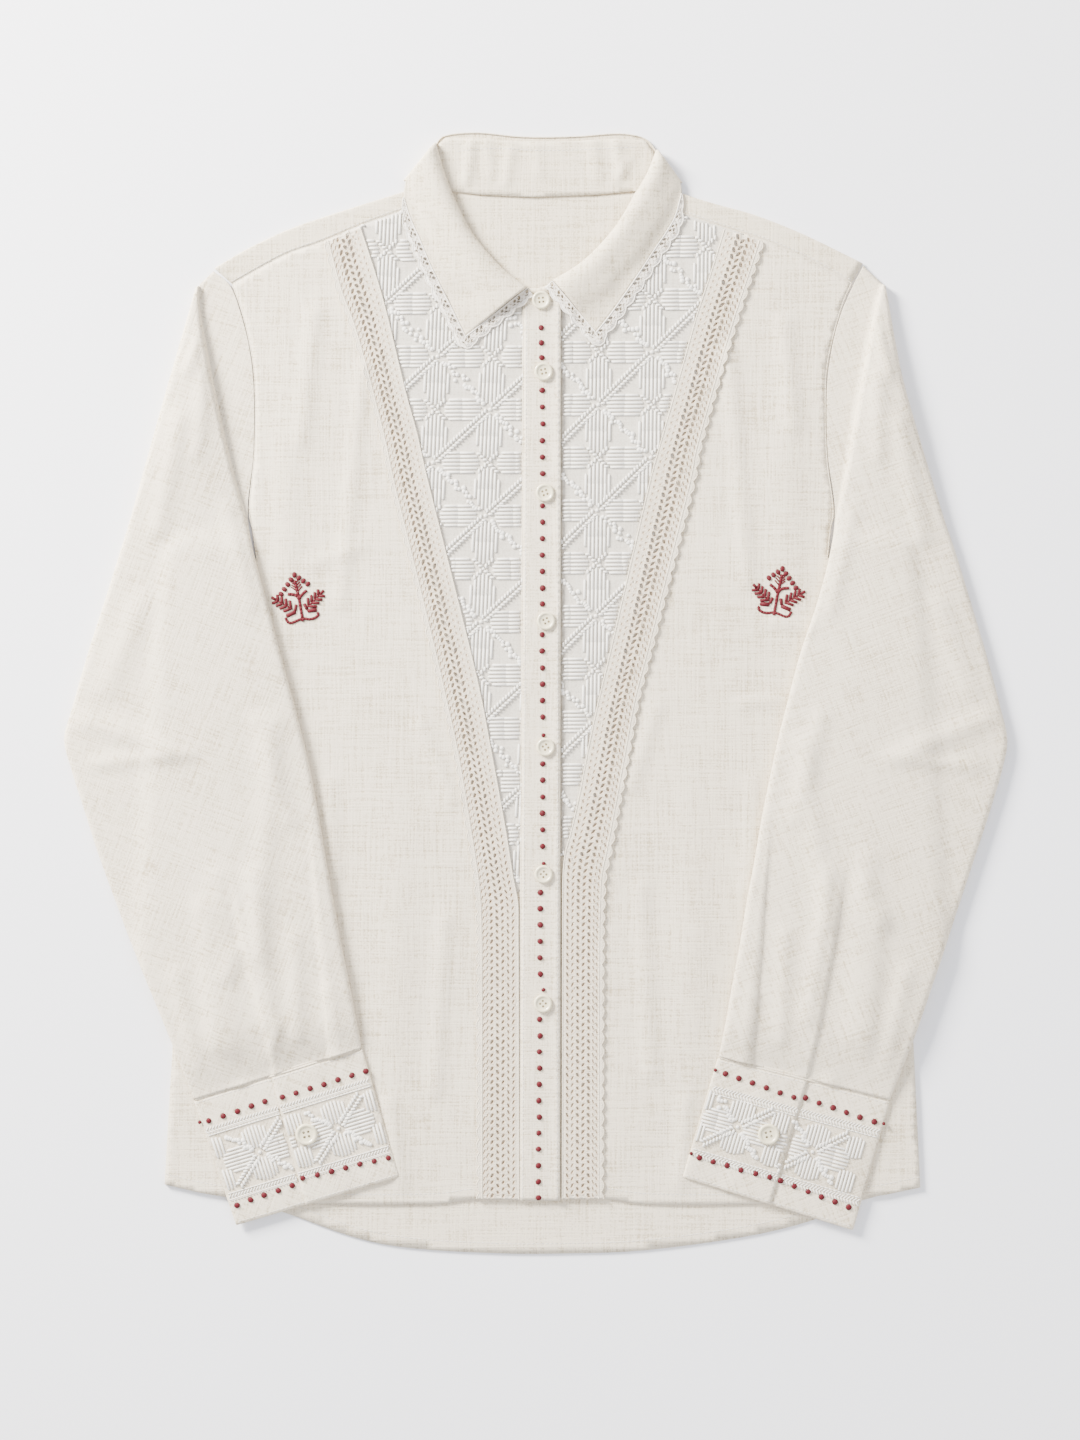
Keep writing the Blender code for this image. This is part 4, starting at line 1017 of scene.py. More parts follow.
def applied(piece, tree, values):
    """Runs a tree on a piece and keeps the result as a plain mesh."""
    modifier = piece.modifiers.new(tree.name, "NODES")
    modifier.node_group = tree
    for item in tree.interface.items_tree:
        if item.in_out == "INPUT" and item.name in values:
            modifier[item.identifier] = values[item.name]
    bpy.context.view_layer.update()
    evaluated = piece.evaluated_get(bpy.context.evaluated_depsgraph_get())
    mesh = bpy.data.meshes.new_from_object(evaluated)
    piece.modifiers.clear()
    piece.data = mesh
    mesh.name = piece.name
    return piece


cord_tree, given, result = node_group(
    "Cord along edges",
    (("Radius", "NodeSocketFloat"), ("Sides", "NodeSocketInt"), ("Finish", "NodeSocketMaterial")),
)
curve = add_node(cord_tree, "GeometryNodeMeshToCurve", Mesh=given["Geometry"]).outputs[0]
profile = add_node(
    cord_tree, "GeometryNodeCurvePrimitiveCircle", Radius=given["Radius"], Resolution=given["Sides"]
).outputs[0]
swept = add_node(cord_tree, "GeometryNodeCurveToMesh", Curve=curve, i1=profile, Fill_Caps=True)
soft = add_node(cord_tree, "GeometryNodeSetShadeSmooth", Geometry=swept.outputs[0]).outputs[0]
whole = add_node(cord_tree, "GeometryNodeRealizeInstances", Geometry=soft).outputs[0]
coated = add_node(cord_tree, "GeometryNodeSetMaterial", Geometry=whole, Material=given["Finish"])
cord_tree.links.new(coated.outputs[0], result["Geometry"])


def cords(name, lines, radius, finish):
    """Round cords along lines of points in metres."""
    vertices, edges = [], []
    for line in lines:
        start = len(vertices)
        vertices += list(line)
        edges += [(start + k, start + k + 1) for k in range(len(line) - 1)]
    piece = placed(name, new_mesh(name, vertices, edges))
    return applied(piece, cord_tree, {"Radius": radius * MM, "Sides": 6, "Finish": finish})


# %% Tapes beside the inserts
TAPE_PITCH = 4.4
TAPE_WIDTH = 25.0
TAPE_THICKNESS = 0.6
OPENWORK = (7.6, 10.9, 14.2, 17.5)
LADDER = (17.5, 19.6, 21.7)
CLOSE_BAND = (0, 1.6, 4.6, 7.6)
SCALLOP_DEPTH = 1.7
# Size of the holes at the strip's start and at its straight end
CLOSE_GROWTH = (0.3, 0.95)
OPEN_GROWTH = (1, 0.72)


def tape_ring(side):
    """Outline of a tape, without its scallops."""
    rows = np.array(TAPE[side])
    inner, outer = smooth_line(rows[:, :2], 3), smooth_line(rows[:, 2:], 3)
    return np.vstack([inner, outer[::-1]])


def applied_height(points):
    """Height of what is sewn on the front."""
    return APPLIED_MID + body_folds(points)


for side, seed in (("right", 11), ("left", 12)):
    rows = np.array(TAPE[side])
    both = smooth_line(rows, 8)
    strip = Strip(both[:, :2], both[:, 2:], TAPE_WIDTH, TAPE_PITCH)
    strip.plain(*CLOSE_BAND[:2], 2)
    for column, (low, high) in enumerate(zip(CLOSE_BAND[1:], CLOSE_BAND[2:])):
        strip.eyelets(low, high, 0.5 * (column % 2), 1.4, 0.5, 0.5 - (column % 2), CLOSE_GROWTH)
    for column, (low, high) in enumerate(zip(OPENWORK, OPENWORK[1:])):
        strip.eyelets(low, high, 0.5 * (column % 2), 1.8, 1.1, 0.5 - (column % 2), OPEN_GROWTH)
    for column, (low, high) in enumerate(zip(LADDER, LADDER[1:])):
        strip.eyelets(low, high, 0.5 * (column % 2), 1.3, 0.36, 0.55)
    edge = scallops(2 * strip.pitch, SCALLOP_DEPTH)
    strip.plain(LADDER[-1], TAPE_WIDTH - 1.4, 3, edge=edge)
    tape = strip.piece(f"{side}_tape_lace", applied_height, tape_thread, TAPE_THICKNESS, seed)
    along = np.linspace(0, strip.run[-1], strip.count * 6)
    lines = []
    for across in (0.2, LADDER[-1] + 0.3):
        plan = strip.on_plan(along, np.full(len(along), across))
        lines.append(in_frame(plan, applied_height(plan) + 0.45))
    plan = strip.on_plan(along, TAPE_WIDTH - 1.6 + edge(along))
    lines.append(in_frame(plan, applied_height(plan) + 0.35))
    cord = cords(f"{side}_tape_cords", lines, 0.42, tape_thread)
    carried(tape, "cotton_lace", f"{side}_tape")
    carried(cord, "cotton_lace")
    print(f"{side} tape: {strip.count} rows of eyelets, {strip.run[-1]:.0f} mm long")

# %% [markdown]
# ## Collar
# A collar is a stand round the neck and a fall that turns over it. At the back of the neck the
# laid shirt shows the stand's inside, and the fall is folded away beneath. The fall is one sheet
# in rows, rolled over at the fold and eased down over whatever lies under its points.

# %% Collar stand
STAND_CREASES = (
    (-46, 362, -49, 338, 3.5, 0.8), (-36, 364, -33, 342, 3, 0.5), (-20, 358, -23, 336, 3.5, 0.6),
    (-4, 364, -1, 344, 4, 0.4), (34, 364, 38, 340, 4, 0.6), (50, 363, 53, 343, 3, 0.8),
    (58, 352, 49, 337, 3, 0.5),
)


def stand_ring():
    """Outline of the stand, a horseshoe round the neck hole."""
    inner = [*smooth_line(STAND_INNER[:4], 3), *STAND_INNER[4:7], *smooth_line(STAND_INNER[7:], 3)]
    return np.array([*inner, *STAND_OUTER, *STAND_TAB])


def stand_height(points):
    """The stand lies on the back at the neck and on the fronts beside it."""
    lifted = draped(points, FRONT_MID, [(body_ring(), APPLIED_MID)], reach=6)
    back_part = eased((np.asarray(points)[:, 1] - 330) / 8)
    return lifted + body_folds(points) + crease_height(points, STAND_CREASES) * back_part


stand = cloth("collar_stand_cloth", stand_ring(), stand_height, cross_linen, step=3)
carried(stand, "linen", "collar_stand")

# %% Collar fall
COLLAR_STEPS = 5
COLLAR_REACH = 9.0
# Share of the way from the fold to the free edge, and the roll's height there
COLLAR_ROLL = (
    (0.006, -1.1), (0, -0.3), (0.004, 0.6), (0.02, 1.7), (0.05, 2.9), (0.1, 4), (0.17, 4.75), (0.25, 4.8),
    (0.34, 4.3), (0.43, 3.5), (0.52, 2.65), (0.61, 1.85), (0.7, 1.15), (0.78, 0.65), (0.86, 0.28),
    (0.92, 0.08), (0.965, 0), (1, 0),
)
COLLAR_CREASES = (
    (-74, 312, -58, 276, 7, 0.35), (-60, 262, -40, 262, 6, -0.3), (78, 318, 60, 288, 7, 0.4),
    (44, 268, 34, 258, 6, 0.3),
)
collar_under = [(stand_ring(), OVER_MID), (np.array(placket_ring()), OVER_MID)]
collar_under += [(tape_ring(side), OVER_MID) for side in SIDES]


def collar_middle():
    """The line halfway down the collar, all round."""
    rows = np.array([row[:4] for row in COLLAR])
    return (rows[:, :2] + rows[:, 2:]) / 2


def leaf_height(points):
    """The collar's leaves lie on the fronts, and over the stand, placket and tapes."""
    lying = draped(points, APPLIED_MID, collar_under, reach=COLLAR_REACH)
    return lying + body_folds(points) + crease_height(points, COLLAR_CREASES)


rows = smooth_line([row[:4] for row in COLLAR], COLLAR_STEPS)
behind = np.interp(np.arange(len(rows)) / COLLAR_STEPS, range(len(COLLAR)), [row[4] for row in COLLAR])
vertices = []
for share, roll in COLLAR_ROLL:
    plan = rows[:, :2] + (rows[:, 2:] - rows[:, :2]) * share
    above = leaf_height(plan) + roll
    beneath = BACK_MID + max(0, -roll)
    vertices += list(in_frame(plan, above * (1 - behind) + beneath * behind))
collar = add_piece("collar_cloth", vertices, grid_faces(len(COLLAR_ROLL), len(rows)), cross_linen)
wall(collar, CLOTH)
carried(collar, "linen", "collar")

# %% [markdown]
# The edging runs down the side of each collar point, round the tip and up the front edge, with
# the tape's tile and smaller eyelets.

# %% Collar lace
COLLAR_LACE = 6.9
COLLAR_LACE_PITCH = 3.5
# Sizes of three eyelets in a row, under one scallop
COLLAR_RHYTHM = (1.15, 1.25, 0.12)
CORNER_STEPS = 5


def collar_edge(side):
    """Inner and outer line of the edging, from the shoulder round the tip to the throat."""
    leaf = [row for row in COLLAR if not row[4] and (row[0] < 0) == (side == "right")]
    if side == "right":
        leaf = leaf[::-1]
    turn = 1 if side == "right" else -1
    down = smooth_line([row[2:4] for row in leaf[1:]], 4)
    up = spaced([leaf[-1][2:4], leaf[-1][:2]], 2)
    down_out, up_out = right_of(down) * turn, right_of(up) * turn
    run = run_along(down)
    width = COLLAR_LACE * np.clip(0.1 + run / 22, 0, 1)
    first, last = down_out[-1], up_out[0]
    fan = []
    for k in range(1, CORNER_STEPS):
        way = first + (last - first) * k / CORNER_STEPS
        reach = 1.0 + 0.3 * sin(pi * k / CORNER_STEPS)
        fan.append(way / norm(way) * reach)
    inner = np.vstack([down, np.repeat(down[-1:], len(fan), axis=0), up])
    tip = down[-1] + np.array(fan) * COLLAR_LACE
    return inner, np.vstack([down + down_out * width[:, None], tip, up + up_out * COLLAR_LACE])


def lace_height(points):
    """The edging leaves the collar's edge and sinks to the embroidery."""
    return draped(points, APPLIED_MID, collar_under, reach=COLLAR_REACH - 3) + body_folds(points)


for side, seed in (("right", 21), ("left", 22)):
    inner, outer = collar_edge(side)
    strip = Strip(inner, outer, COLLAR_LACE, COLLAR_LACE_PITCH)
    strip.plain(0, 1.1, 1)
    strip.eyelets(1.1, 3.2, 0, 1.15, 0.85, -0.3, rhythm=COLLAR_RHYTHM)
    strip.eyelets(3.2, 4.6, 0.5, 1.05, 0.5, 0.3, rhythm=(1.1, 0.12, 0.9))
    strip.eyelets(4.6, 5.6, 0, 0.9, 0.36, -0.3, rhythm=(0.12, 1, 0.12))
    edge = scallops(3 * strip.pitch, 1.8)
    strip.plain(5.6, COLLAR_LACE - 0.8, 1, edge=edge)
    lace = strip.piece(f"{side}_collar_edging", lace_height, collar_thread, 0.55, seed)
    along = np.linspace(0, strip.run[-1], strip.count * 6)
    rim = strip.on_plan(along, COLLAR_LACE - 1.0 + edge(along))
    seam = strip.on_plan(along, np.full(len(along), 0.5))
    lines = [in_frame(rim, lace_height(rim) + 0.3), in_frame(seam, lace_height(seam) + 0.55)]
    cord = cords(f"{side}_collar_cords", lines, 0.38, collar_thread)
    carried(lace, "cotton_lace", f"{side}_collar_lace")
    carried(cord, "cotton_lace")

# %% [markdown]
# ## Sleeves
# A laid sleeve is a flattened tube: a lower side, a fold at each edge and a fuller upper side.
# Next to the armhole the cloth first runs level with the body and then folds back over itself.
# Each row of the tube is drawn once, all round, and the rows are joined down to the cuff.

# %% Sleeve sizes
SLEEVE_STEPS = 8
FOLD_HEIGHT = 5.6
# Extra height of the fold beside the armhole, and the rows where it stands highest
SHOULDER_ROLL = 2.6
ROLL_MIDDLE = 3.2
ROLL_REACH = 3.4
SEAM_TOP = FRONT_MID + CLOTH / 2 - 0.05
SLEEVE_RISE = 2.1
CUFF_MOUTH = 2.5
MOUTH_LENGTH = 2.2
FIRST_FREE_ROW = 7
SLEEVE_REACH = 20.0
FOLD_ROUNDING = 3.2
LAP_STEP = 0.9
LAP_RAMP = 0.13
LOWER_COLUMNS = 14
# Shares of the way from the armhole seam to the fold, close together at the seam
CAP_SHARES = (0, 0.02, 0.07, 0.2, 0.42, 0.64, 0.84)
# Creases on the upper side: x and y of one end and of the other, half width, height
SLEEVE_CREASES = {
    "right": (
        (-203, 265, -215, 252, 3.5, 0.9), (-212, 262, -232, 214, 5, 0.9), (-221, 214, -226, 160, 6, 0.7),
        (-238, 180, -252, 108, 7, 0.9), (-206, 120, -190, 60, 6, 0.7), (-262, 60, -286, 4, 8, 0.9),
        (-300, -18, -246, -36, 7, 1.2), (-292, -46, -232, -40, 5, 0.8), (-186, -18, -166, -84, 6, 0.8),
        (-200, -169, -206, -186, 5, 0.9), (-190, -120, -178, -214, 6, 0.9),
        (-222, -140, -214, -232, 6, 1), (-162, -160, -160, -226, 5, 0.8),
        (-173.6, -220, -178, -240, 4, 1), (-240, -186, -226, -246, 5, 0.9),
        (-142, -196, -136, -236, 4, 0.8),
    ),
    "left": (
        (212, 262, 230, 212, 5, 0.9), (222, 208, 222, 158, 6, 0.7), (236, 178, 250, 104, 7, 0.9),
        (204, 118, 190, 56, 6, 0.7), (262, 58, 282, 2, 8, 0.9), (294, -16, 242, -38, 7, 1.2),
        (286, -48, 230, -42, 5, 0.8), (184, -16, 166, -82, 6, 0.8), (212, -126, 224, -150, 6, 0.9),
        (190, -118, 176, -212, 6, 0.9), (222, -146, 214, -236, 6, 1), (160, -158, 158, -228, 5, 0.8),
        (240, -184, 226, -246, 5, 0.9), (140, -198, 134, -238, 4, 0.8),
    ),
}
SLEEVE_UNEVENNESS = ((70, 0.55), (26, 0.22))


def lap_share(side, lap, row):
    """Where a lapped edge lies across the sleeve, and how high it stands."""
    first, there, at_cuff = SLEEVE_LAPS[side][lap]
    share = np.clip((row - first) / (len(SLEEVE[side]) - 1 - first), 0, 1)
    return there + (at_cuff - there) * share, LAP_STEP * np.minimum(1, share * 4)


def upper_shares(side, row, width):
    """Places across the upper side, from the fold outwards, with pairs at the laps."""
    slit, pleat = lap_share(side, 0, row)[0], lap_share(side, 1, row)[0]
    nick = 0.35 / width
    near = np.array((0, 0.25, 0.8, 1.8, 3.2)) / width
    first = 1 - 5.0 / width if pleat < 1 - 6.0 / width else pleat + nick
    parts = [1 - near, np.linspace(first, pleat + nick, 3), np.linspace(pleat - nick, slit + nick, 16)]
    shares = np.concatenate([*parts, np.linspace(slit - nick, near[-1] * 1.6, 16), near[::-1]])
    return np.clip(np.minimum.accumulate(shares), 0, 1)


def rounded(away):
    """Rises as a quarter circle from 0 to 1."""
    return np.sqrt(1 - (1 - np.clip(away, 0, 1)) ** 2)


def sleeve_mesh(side):
    """Plan points and heights of the sleeve's rings, each all round."""
    rows = smooth_line(SLEEVE[side], SLEEVE_STEPS)
    last = len(SLEEVE[side]) - 1
    plans, heights = [], []
    for number, places in enumerate(rows):
        row = number / SLEEVE_STEPS
        outer, fold, seam = places.reshape(3, 2)
        if row >= FIRST_FREE_ROW:
            seam = fold
        width = norm(fold - outer)
        free = float(eased(row - FIRST_FREE_ROW + 1))
        rise = min(SLEEVE_RISE, 0.05 * width)
        mouth = float(eased((last - row) / MOUTH_LENGTH))
        roll = SHOULDER_ROLL * float(eased(1.0 - abs(row - ROLL_MIDDLE) / ROLL_REACH))
        full = CUFF_MOUTH + (FOLD_HEIGHT - CUFF_MOUTH) * mouth + roll
        rounding = min(FOLD_ROUNDING, 0.25 * width)
        middle = (BACK_MID + full) / 2

        shares = np.linspace(0, 1, LOWER_COLUMNS + 1)[:-1]
        lower_plan = outer + (seam - outer) * shares[:, None]
        lower = middle + (BACK_MID - middle) * rounded(shares * width / rounding)

        shares = np.array(CAP_SHARES)
        cap_plan = seam + (fold - seam) * shares[:, None]
        cap = np.full(len(shares), SEAM_TOP) * (1 - free) + (BACK_MID + (middle - BACK_MID) * shares) * free

        shares = upper_shares(side, row, width)
        upper_plan = outer + (fold - outer) * shares[:, None]
        top = full + rise * mouth * np.sin(pi * shares) ** 0.8
        for lap in range(2):
            edge, step = lap_share(side, lap, row)
            top += np.where(shares > edge, step * np.clip(1 - (shares - edge) / LAP_RAMP, 0, 1), 0)
        start = SEAM_TOP * (1 - free) + middle * free
        upper = middle + (top - middle) * rounded(shares * width / rounding)
        upper = start + (upper - start) * rounded((1 - shares) * width / rounding)
        relief = crease_height(upper_plan, SLEEVE_CREASES[side]) + uneven(upper_plan, SLEEVE_UNEVENNESS, 7)
        at_edge = np.minimum(shares, 1 - shares) * width
        upper += np.maximum(relief, -0.5) * eased(at_edge / 9) * max(mouth, 0.35)

        plan = np.vstack([lower_plan, cap_plan, upper_plan])
        ground = np.zeros(len(plan))
        if free > 0:
            lying = draped(plan, 0, [(body_ring(), APPLIED_MID - BACK_MID)], reach=SLEEVE_REACH)
            ground = free * (lying + body_folds(plan))
        plans.append(plan)
        heights.append(np.concatenate([lower, cap, upper]) + ground)
    return np.array(plans), np.array(heights)


def top_face_up(faces):
    """Over 0 if the highest face looks up."""
    return max(faces, key=lambda face: face.calc_center_median().z).normal.z


# %% Sew and lay the sleeves
for side in SIDES:
    plans, heights = sleeve_mesh(side)
    vertices = in_frame(plans.reshape(-1, 2), heights.reshape(-1))
    faces = grid_faces(*plans.shape[:2], closed=True, over=True)
    sleeve = add_piece(f"{side}_sleeve_cloth", vertices, faces, sleeve_linen[side])
    reworked(sleeve.data, 0.00002, 0.00001, top_face_up)
    wall(sleeve, 0.7, offset=-1)
    carried(sleeve, "linen", f"{side}_sleeve")

# %% [markdown]
# ## Cuffs
# A barrel cuff is a stiff strip bent into a flat ring, with one end lapped over the other and
# buttoned. The strip is followed from the end under the lap, round both folds, to the end on top.

# %% Cuffs
CUFF_LOW = APPLIED_MID
CUFF_TOP = CUFF_LOW + LAYER
CUFF_LAP = CUFF_LOW + 1.68 * LAYER
CUFF_UNDERLAP = 0.2
CUFF_ROWS = 18
CUFF_BAND = (0.285, 0.755)
# Depth of the rounding at the cuff's upper and lower edge, and its share of the cuff
CUFF_EDGE = 0.8
CUFF_EDGE_SHARE = 0.02
CUFF_WAVES = ((55, 0.25), (18, 0.1))


def cuff_sides(side, down):
    """Places on a cuff's outer and inner fold, this share down from the sleeve."""
    outer_top, inner_top, inner_foot, outer_foot = np.array(CUFF[side][:4])
    return outer_top + (outer_foot - outer_top) * down, inner_top + (inner_foot - inner_top) * down


def cuff_place(side, across, down):
    """Plan points on a cuff, across from its outer fold and down from the sleeve."""
    outer, inner = cuff_sides(side, np.asarray(down)[:, None])
    return outer + (inner - outer) * np.asarray(across)[:, None]


def lap_across(side, down):
    """Where the lapped end's edge lies across the cuff."""
    outer, inner = cuff_sides(side, down)
    top, foot = np.array(CUFF[side][4:])
    return float(norm(top + (foot - top) * down - outer) / norm(inner - outer))


def cuff_profile(lap):
    """Places across and heights, from the end under the lap to the end on top."""
    under = lap + CUFF_UNDERLAP
    upper = [(share, CUFF_TOP) for share in np.linspace(under, 0.03, 18)]
    outer = [(0.010, CUFF_TOP - 0.12), (0.002, CUFF_TOP - 0.4), (0, (CUFF_TOP + CUFF_LOW) / 2)]
    outer += [(0.002, CUFF_LOW + 0.4), (0.010, CUFF_LOW + 0.12)]
    lower = [(share, CUFF_LOW) for share in np.linspace(0.03, 0.97, 14)]
    inner = [(0.990, CUFF_LOW + 0.12), (0.998, CUFF_LOW + 0.4), (1, (CUFF_TOP + CUFF_LOW) / 2)]
    inner += [(0.998, CUFF_TOP - 0.4), (0.990, CUFF_TOP - 0.12)]
    lap_side = []
    for share in np.linspace(0.97, lap, 22):
        climb = float(eased((under + 0.13 - share) / 0.1))
        lap_side.append((share, CUFF_TOP + (CUFF_LAP - CUFF_TOP) * climb))
    return np.array([*upper, *outer, *lower, *inner, *lap_side])


def edge_drop(down):
    """How much lower the upper side lies at the cuff's turned edges."""
    share = min(1, min(down, 1.0 - down) / CUFF_EDGE_SHARE)
    return CUFF_EDGE * (1.0 - share) ** 2


near = [CUFF_EDGE_SHARE * k / 4 for k in range(4)]
flat_part = np.linspace(CUFF_EDGE_SHARE, 1 - CUFF_EDGE_SHARE, CUFF_ROWS)
CUFF_PLACES = [*near, *flat_part, *(1 - share for share in near[::-1])]
for side in SIDES:
    finish = linen(f"linen_{side}_cuff", SLEEVE_GRAIN[side], LINEN_TONES, band=CUFF_BAND)
    vertices, downs = [], []
    for down in CUFF_PLACES:
        profile = cuff_profile(lap_across(side, down))
        plan = cuff_place(side, profile[:, 0], np.full(len(profile), down))
        height = profile[:, 1] + np.maximum(uneven(plan, CUFF_WAVES, 5), -0.1)
        height -= edge_drop(down) * (profile[:, 1] > (CUFF_TOP + CUFF_LOW) / 2)
        vertices += list(in_frame(plan, height))
        downs += [down] * len(plan)
    faces = grid_faces(len(CUFF_PLACES), len(plan), over=True)
    cuff = add_piece(f"{side}_cuff_cloth", vertices, faces, finish)
    cuff.data.attributes.new("down", "FLOAT", "POINT").data.foreach_set("value", downs)
    wall(cuff, CLOTH)
    carried(cuff, "linen", f"{side}_cuff")

# %% [markdown]
# ## Buttons
# The buttons are turned discs of an ivory plastic, with a rounded back, a raised rim, a dished
# face and four holes. A profile is spun round its axis, and a Boolean cuts the holes, as a drill
# does.

# %% Button material
ivory, tree, shader, place = new_material("button_ivory", (0.75, 0.67, 0.46), 0.28)
shader["Specular IOR Level"].default_value = 0.5
shader["Coat Weight"].default_value = 0.25
streaks = grains(tree, place, (160, 520, 160), 4)
ivory_color = blended(tree, streaks, (0.67, 0.59, 0.385), (0.80, 0.73, 0.53))
dressed(tree, shader, ivory_color, grains(tree, place, 2500), 0.08, 0.0002)

# %% Turn and drill the buttons
# Distance from the axis and height, in millimetres, from the back to the middle of the face
BUTTON_PROFILE = (
    (0, 0), (4.3, 0), (5.2, 0.35), (5.75, 0.95), (5.7, 1.45), (5.45, 1.85), (5.05, 2.08), (4.6, 2.1),
    (4.2, 1.95), (3.9, 1.62), (3.5, 1.45), (1.8, 1.4), (0, 1.42),
)
BUTTON_SIDES = 40
HOLE_OUT = 1.75
HOLE_RADIUS = 0.72
FRONT_SEAT = APPLIED_MID + CLOTH / 2 + 0.15
CUFF_SEAT = CUFF_LAP + 0.6
# How much further up the plan, and how much larger, the cuff buttons show
CUFF_BUTTON_UP = 1.2
CUFF_GROWTH = 1.06


def spin_blank(work):
    """The profile spun round the axis."""
    line = [work.verts.new((out * MM, 0, up * MM)) for out, up in BUTTON_PROFILE]
    edges = [work.edges.new(pair) for pair in zip(line, line[1:])]
    circle = {"axis": (0, 0, 1), "cent": (0, 0, 0), "angle": 2 * pi, "steps": BUTTON_SIDES}
    bmesh.ops.spin(work, geom=[*line, *edges], **circle)
    bmesh.ops.remove_doubles(work, verts=work.verts, dist=0.00001)
    bmesh.ops.recalc_face_normals(work, faces=work.faces)


def four_drills(work):
    """Four round cutters."""
    for k in range(4):
        turn = pi / 4 + k * pi / 2
        centre = Matrix.Translation((HOLE_OUT * cos(turn) * MM, HOLE_OUT * sin(turn) * MM, MM))
        sizes = {"radius1": HOLE_RADIUS * MM, "radius2": HOLE_RADIUS * MM, "depth": 6 * MM}
        bmesh.ops.create_cone(work, cap_ends=True, segments=14, matrix=centre, **sizes)


blank = placed("blank", built("button_blank", spin_blank))
cutter = placed("drill", built("drill", four_drills))
cut = blank.modifiers.new("Holes", "BOOLEAN")
cut.operation, cut.object, cut.solver = "DIFFERENCE", cutter, "EXACT"
bpy.context.view_layer.update()
button_mesh = bpy.data.meshes.new_from_object(blank.evaluated_get(bpy.context.evaluated_depsgraph_get()))
button_mesh.materials.clear()
button_mesh.materials.append(ivory)
bpy.data.objects.remove(blank)
bpy.data.objects.remove(cutter)
button_mesh.polygons.foreach_set("use_smooth", [True] * len(button_mesh.polygons))
button_mesh.set_sharp_from_angle(angle=radians(50))

seats = {f"button_{n}": (x, y, FRONT_SEAT, 1.05, 0.12 * n) for n, (x, y) in enumerate(BUTTONS, 1)}
for side, (x, y, radius) in CUFF_BUTTON.items():
    scale = CUFF_GROWTH * radius / BUTTON_RADIUS
    seats[f"{side}_cuff_button"] = (x, y + CUFF_BUTTON_UP, CUFF_SEAT, scale, 0.2)
for node, (x, y, seat, scale, turn) in seats.items():
    mesh = button_mesh.copy()
    lift = seat + (float(body_folds([(x, y)])[0]) if node.startswith("button") else 0)
    moved = Matrix.Translation(in_frame([(x, y)], lift)[0])
    mesh.transform(moved @ Matrix.Rotation(turn, 4, "Z") @ Matrix.Scale(scale, 4))
    carried(placed(f"{node}_turned", mesh), "button_ivory", node)

# %% [markdown]
# ## Stitches as instances
# Embroidery is thousands of short raised stitches. Each is a point with a turn and a size, and
# one Geometry Nodes tree puts a padded stitch on every point. It keeps how far along its thread
# each vertex is, for the material, and ends in real geometry, because the export drops instances.

# %% Units: a padded stitch and a knot
STITCH_SECTION = ((-0.5, -0.25), (-0.37, 0.62), (0, 1), (0.37, 0.62), (0.5, -0.25))
STITCH_STATIONS = (-0.41, 0, 0.41)
KNOT_SIDES = 9
KNOT_RINGS = ((0.5, -0.25), (0.47, 0.45), (0.28, 0.9))


def unit_object(name, rings, tips):
    """A closed unit from rings of points and two tips, kept out of the scene."""
    count = len(rings[0])
    top = (len(rings) - 1) * count
    faces = grid_faces(len(rings), count, closed=True, over=True)
    faces += [((k + 1) % count, k, top + count) for k in range(count)]
    faces += [(top + k, top + (k + 1) % count, top + count + 1) for k in range(count)]
    mesh = new_mesh(name, [point for ring in rings for point in ring] + list(tips), faces=faces)
    reworked(mesh, outward=lambda faces: 1)
    along, _, up = np.array([tuple(vertex.co) for vertex in mesh.vertices]).T
    # up, a vertex's height in the unit, tells the thread material where to paint shade at the stitch's foot.
    for label, values in (("unit_along", along), ("up", np.maximum(up, 0))):
        mesh.attributes.new(label, "FLOAT", "POINT").data.foreach_set("value", values.astype(np.float32))
    return bpy.data.objects.new(name, mesh)


stitch_unit = unit_object(
    "padded_stitch",
    [[(x, y, z) for y, z in STITCH_SECTION] for x in STITCH_STATIONS],
    [(-0.5, 0, 0.1), (0.5, 0, 0.1)],
)
around = [2 * pi * k / KNOT_SIDES for k in range(KNOT_SIDES)]
knot_unit = unit_object(
    "knot",
    [[(out * cos(turn), out * sin(turn), up) for turn in around] for out, up in KNOT_RINGS],
    [(0, 0, -0.25), (0, 0, 1)],
)

# %% The tree that sews
sewing_tree, given, result = node_group(
    "Stitches on points",
    (
        ("Unit", "NodeSocketObject"),
        ("Width", "NodeSocketFloat"),
        ("Height", "NodeSocketFloat"),
        ("Finish", "NodeSocketMaterial"),
    ),
)


def named(name, kind="FLOAT_VECTOR"):
    """An attribute of the points."""
    return add_node(sewing_tree, "GeometryNodeInputNamedAttribute", {"data_type": kind}, Name=name).outputs[0]


turn = add_node(sewing_tree, "FunctionNodeEulerToRotation", Euler=named("turn"))
factor = add_node(sewing_tree, "ShaderNodeCombineXYZ", X=1.0, Y=given["Width"], Z=given["Height"]).outputs[0]
size = add_node(
    sewing_tree, "ShaderNodeVectorMath", {"operation": "MULTIPLY"}, i0=named("size"), i1=factor
).outputs[0]
unit = add_node(sewing_tree, "GeometryNodeObjectInfo", Object=given["Unit"]).outputs["Geometry"]
sewn = add_node(
    sewing_tree, "GeometryNodeInstanceOnPoints",
    Points=given["Geometry"], Instance=unit, Rotation=turn.outputs[0], Scale=size,
).outputs[0]
whole = add_node(sewing_tree, "GeometryNodeRealizeInstances", Geometry=sewn).outputs[0]
length = add_node(sewing_tree, "ShaderNodeSeparateXYZ", Vector=named("size")).outputs["X"]
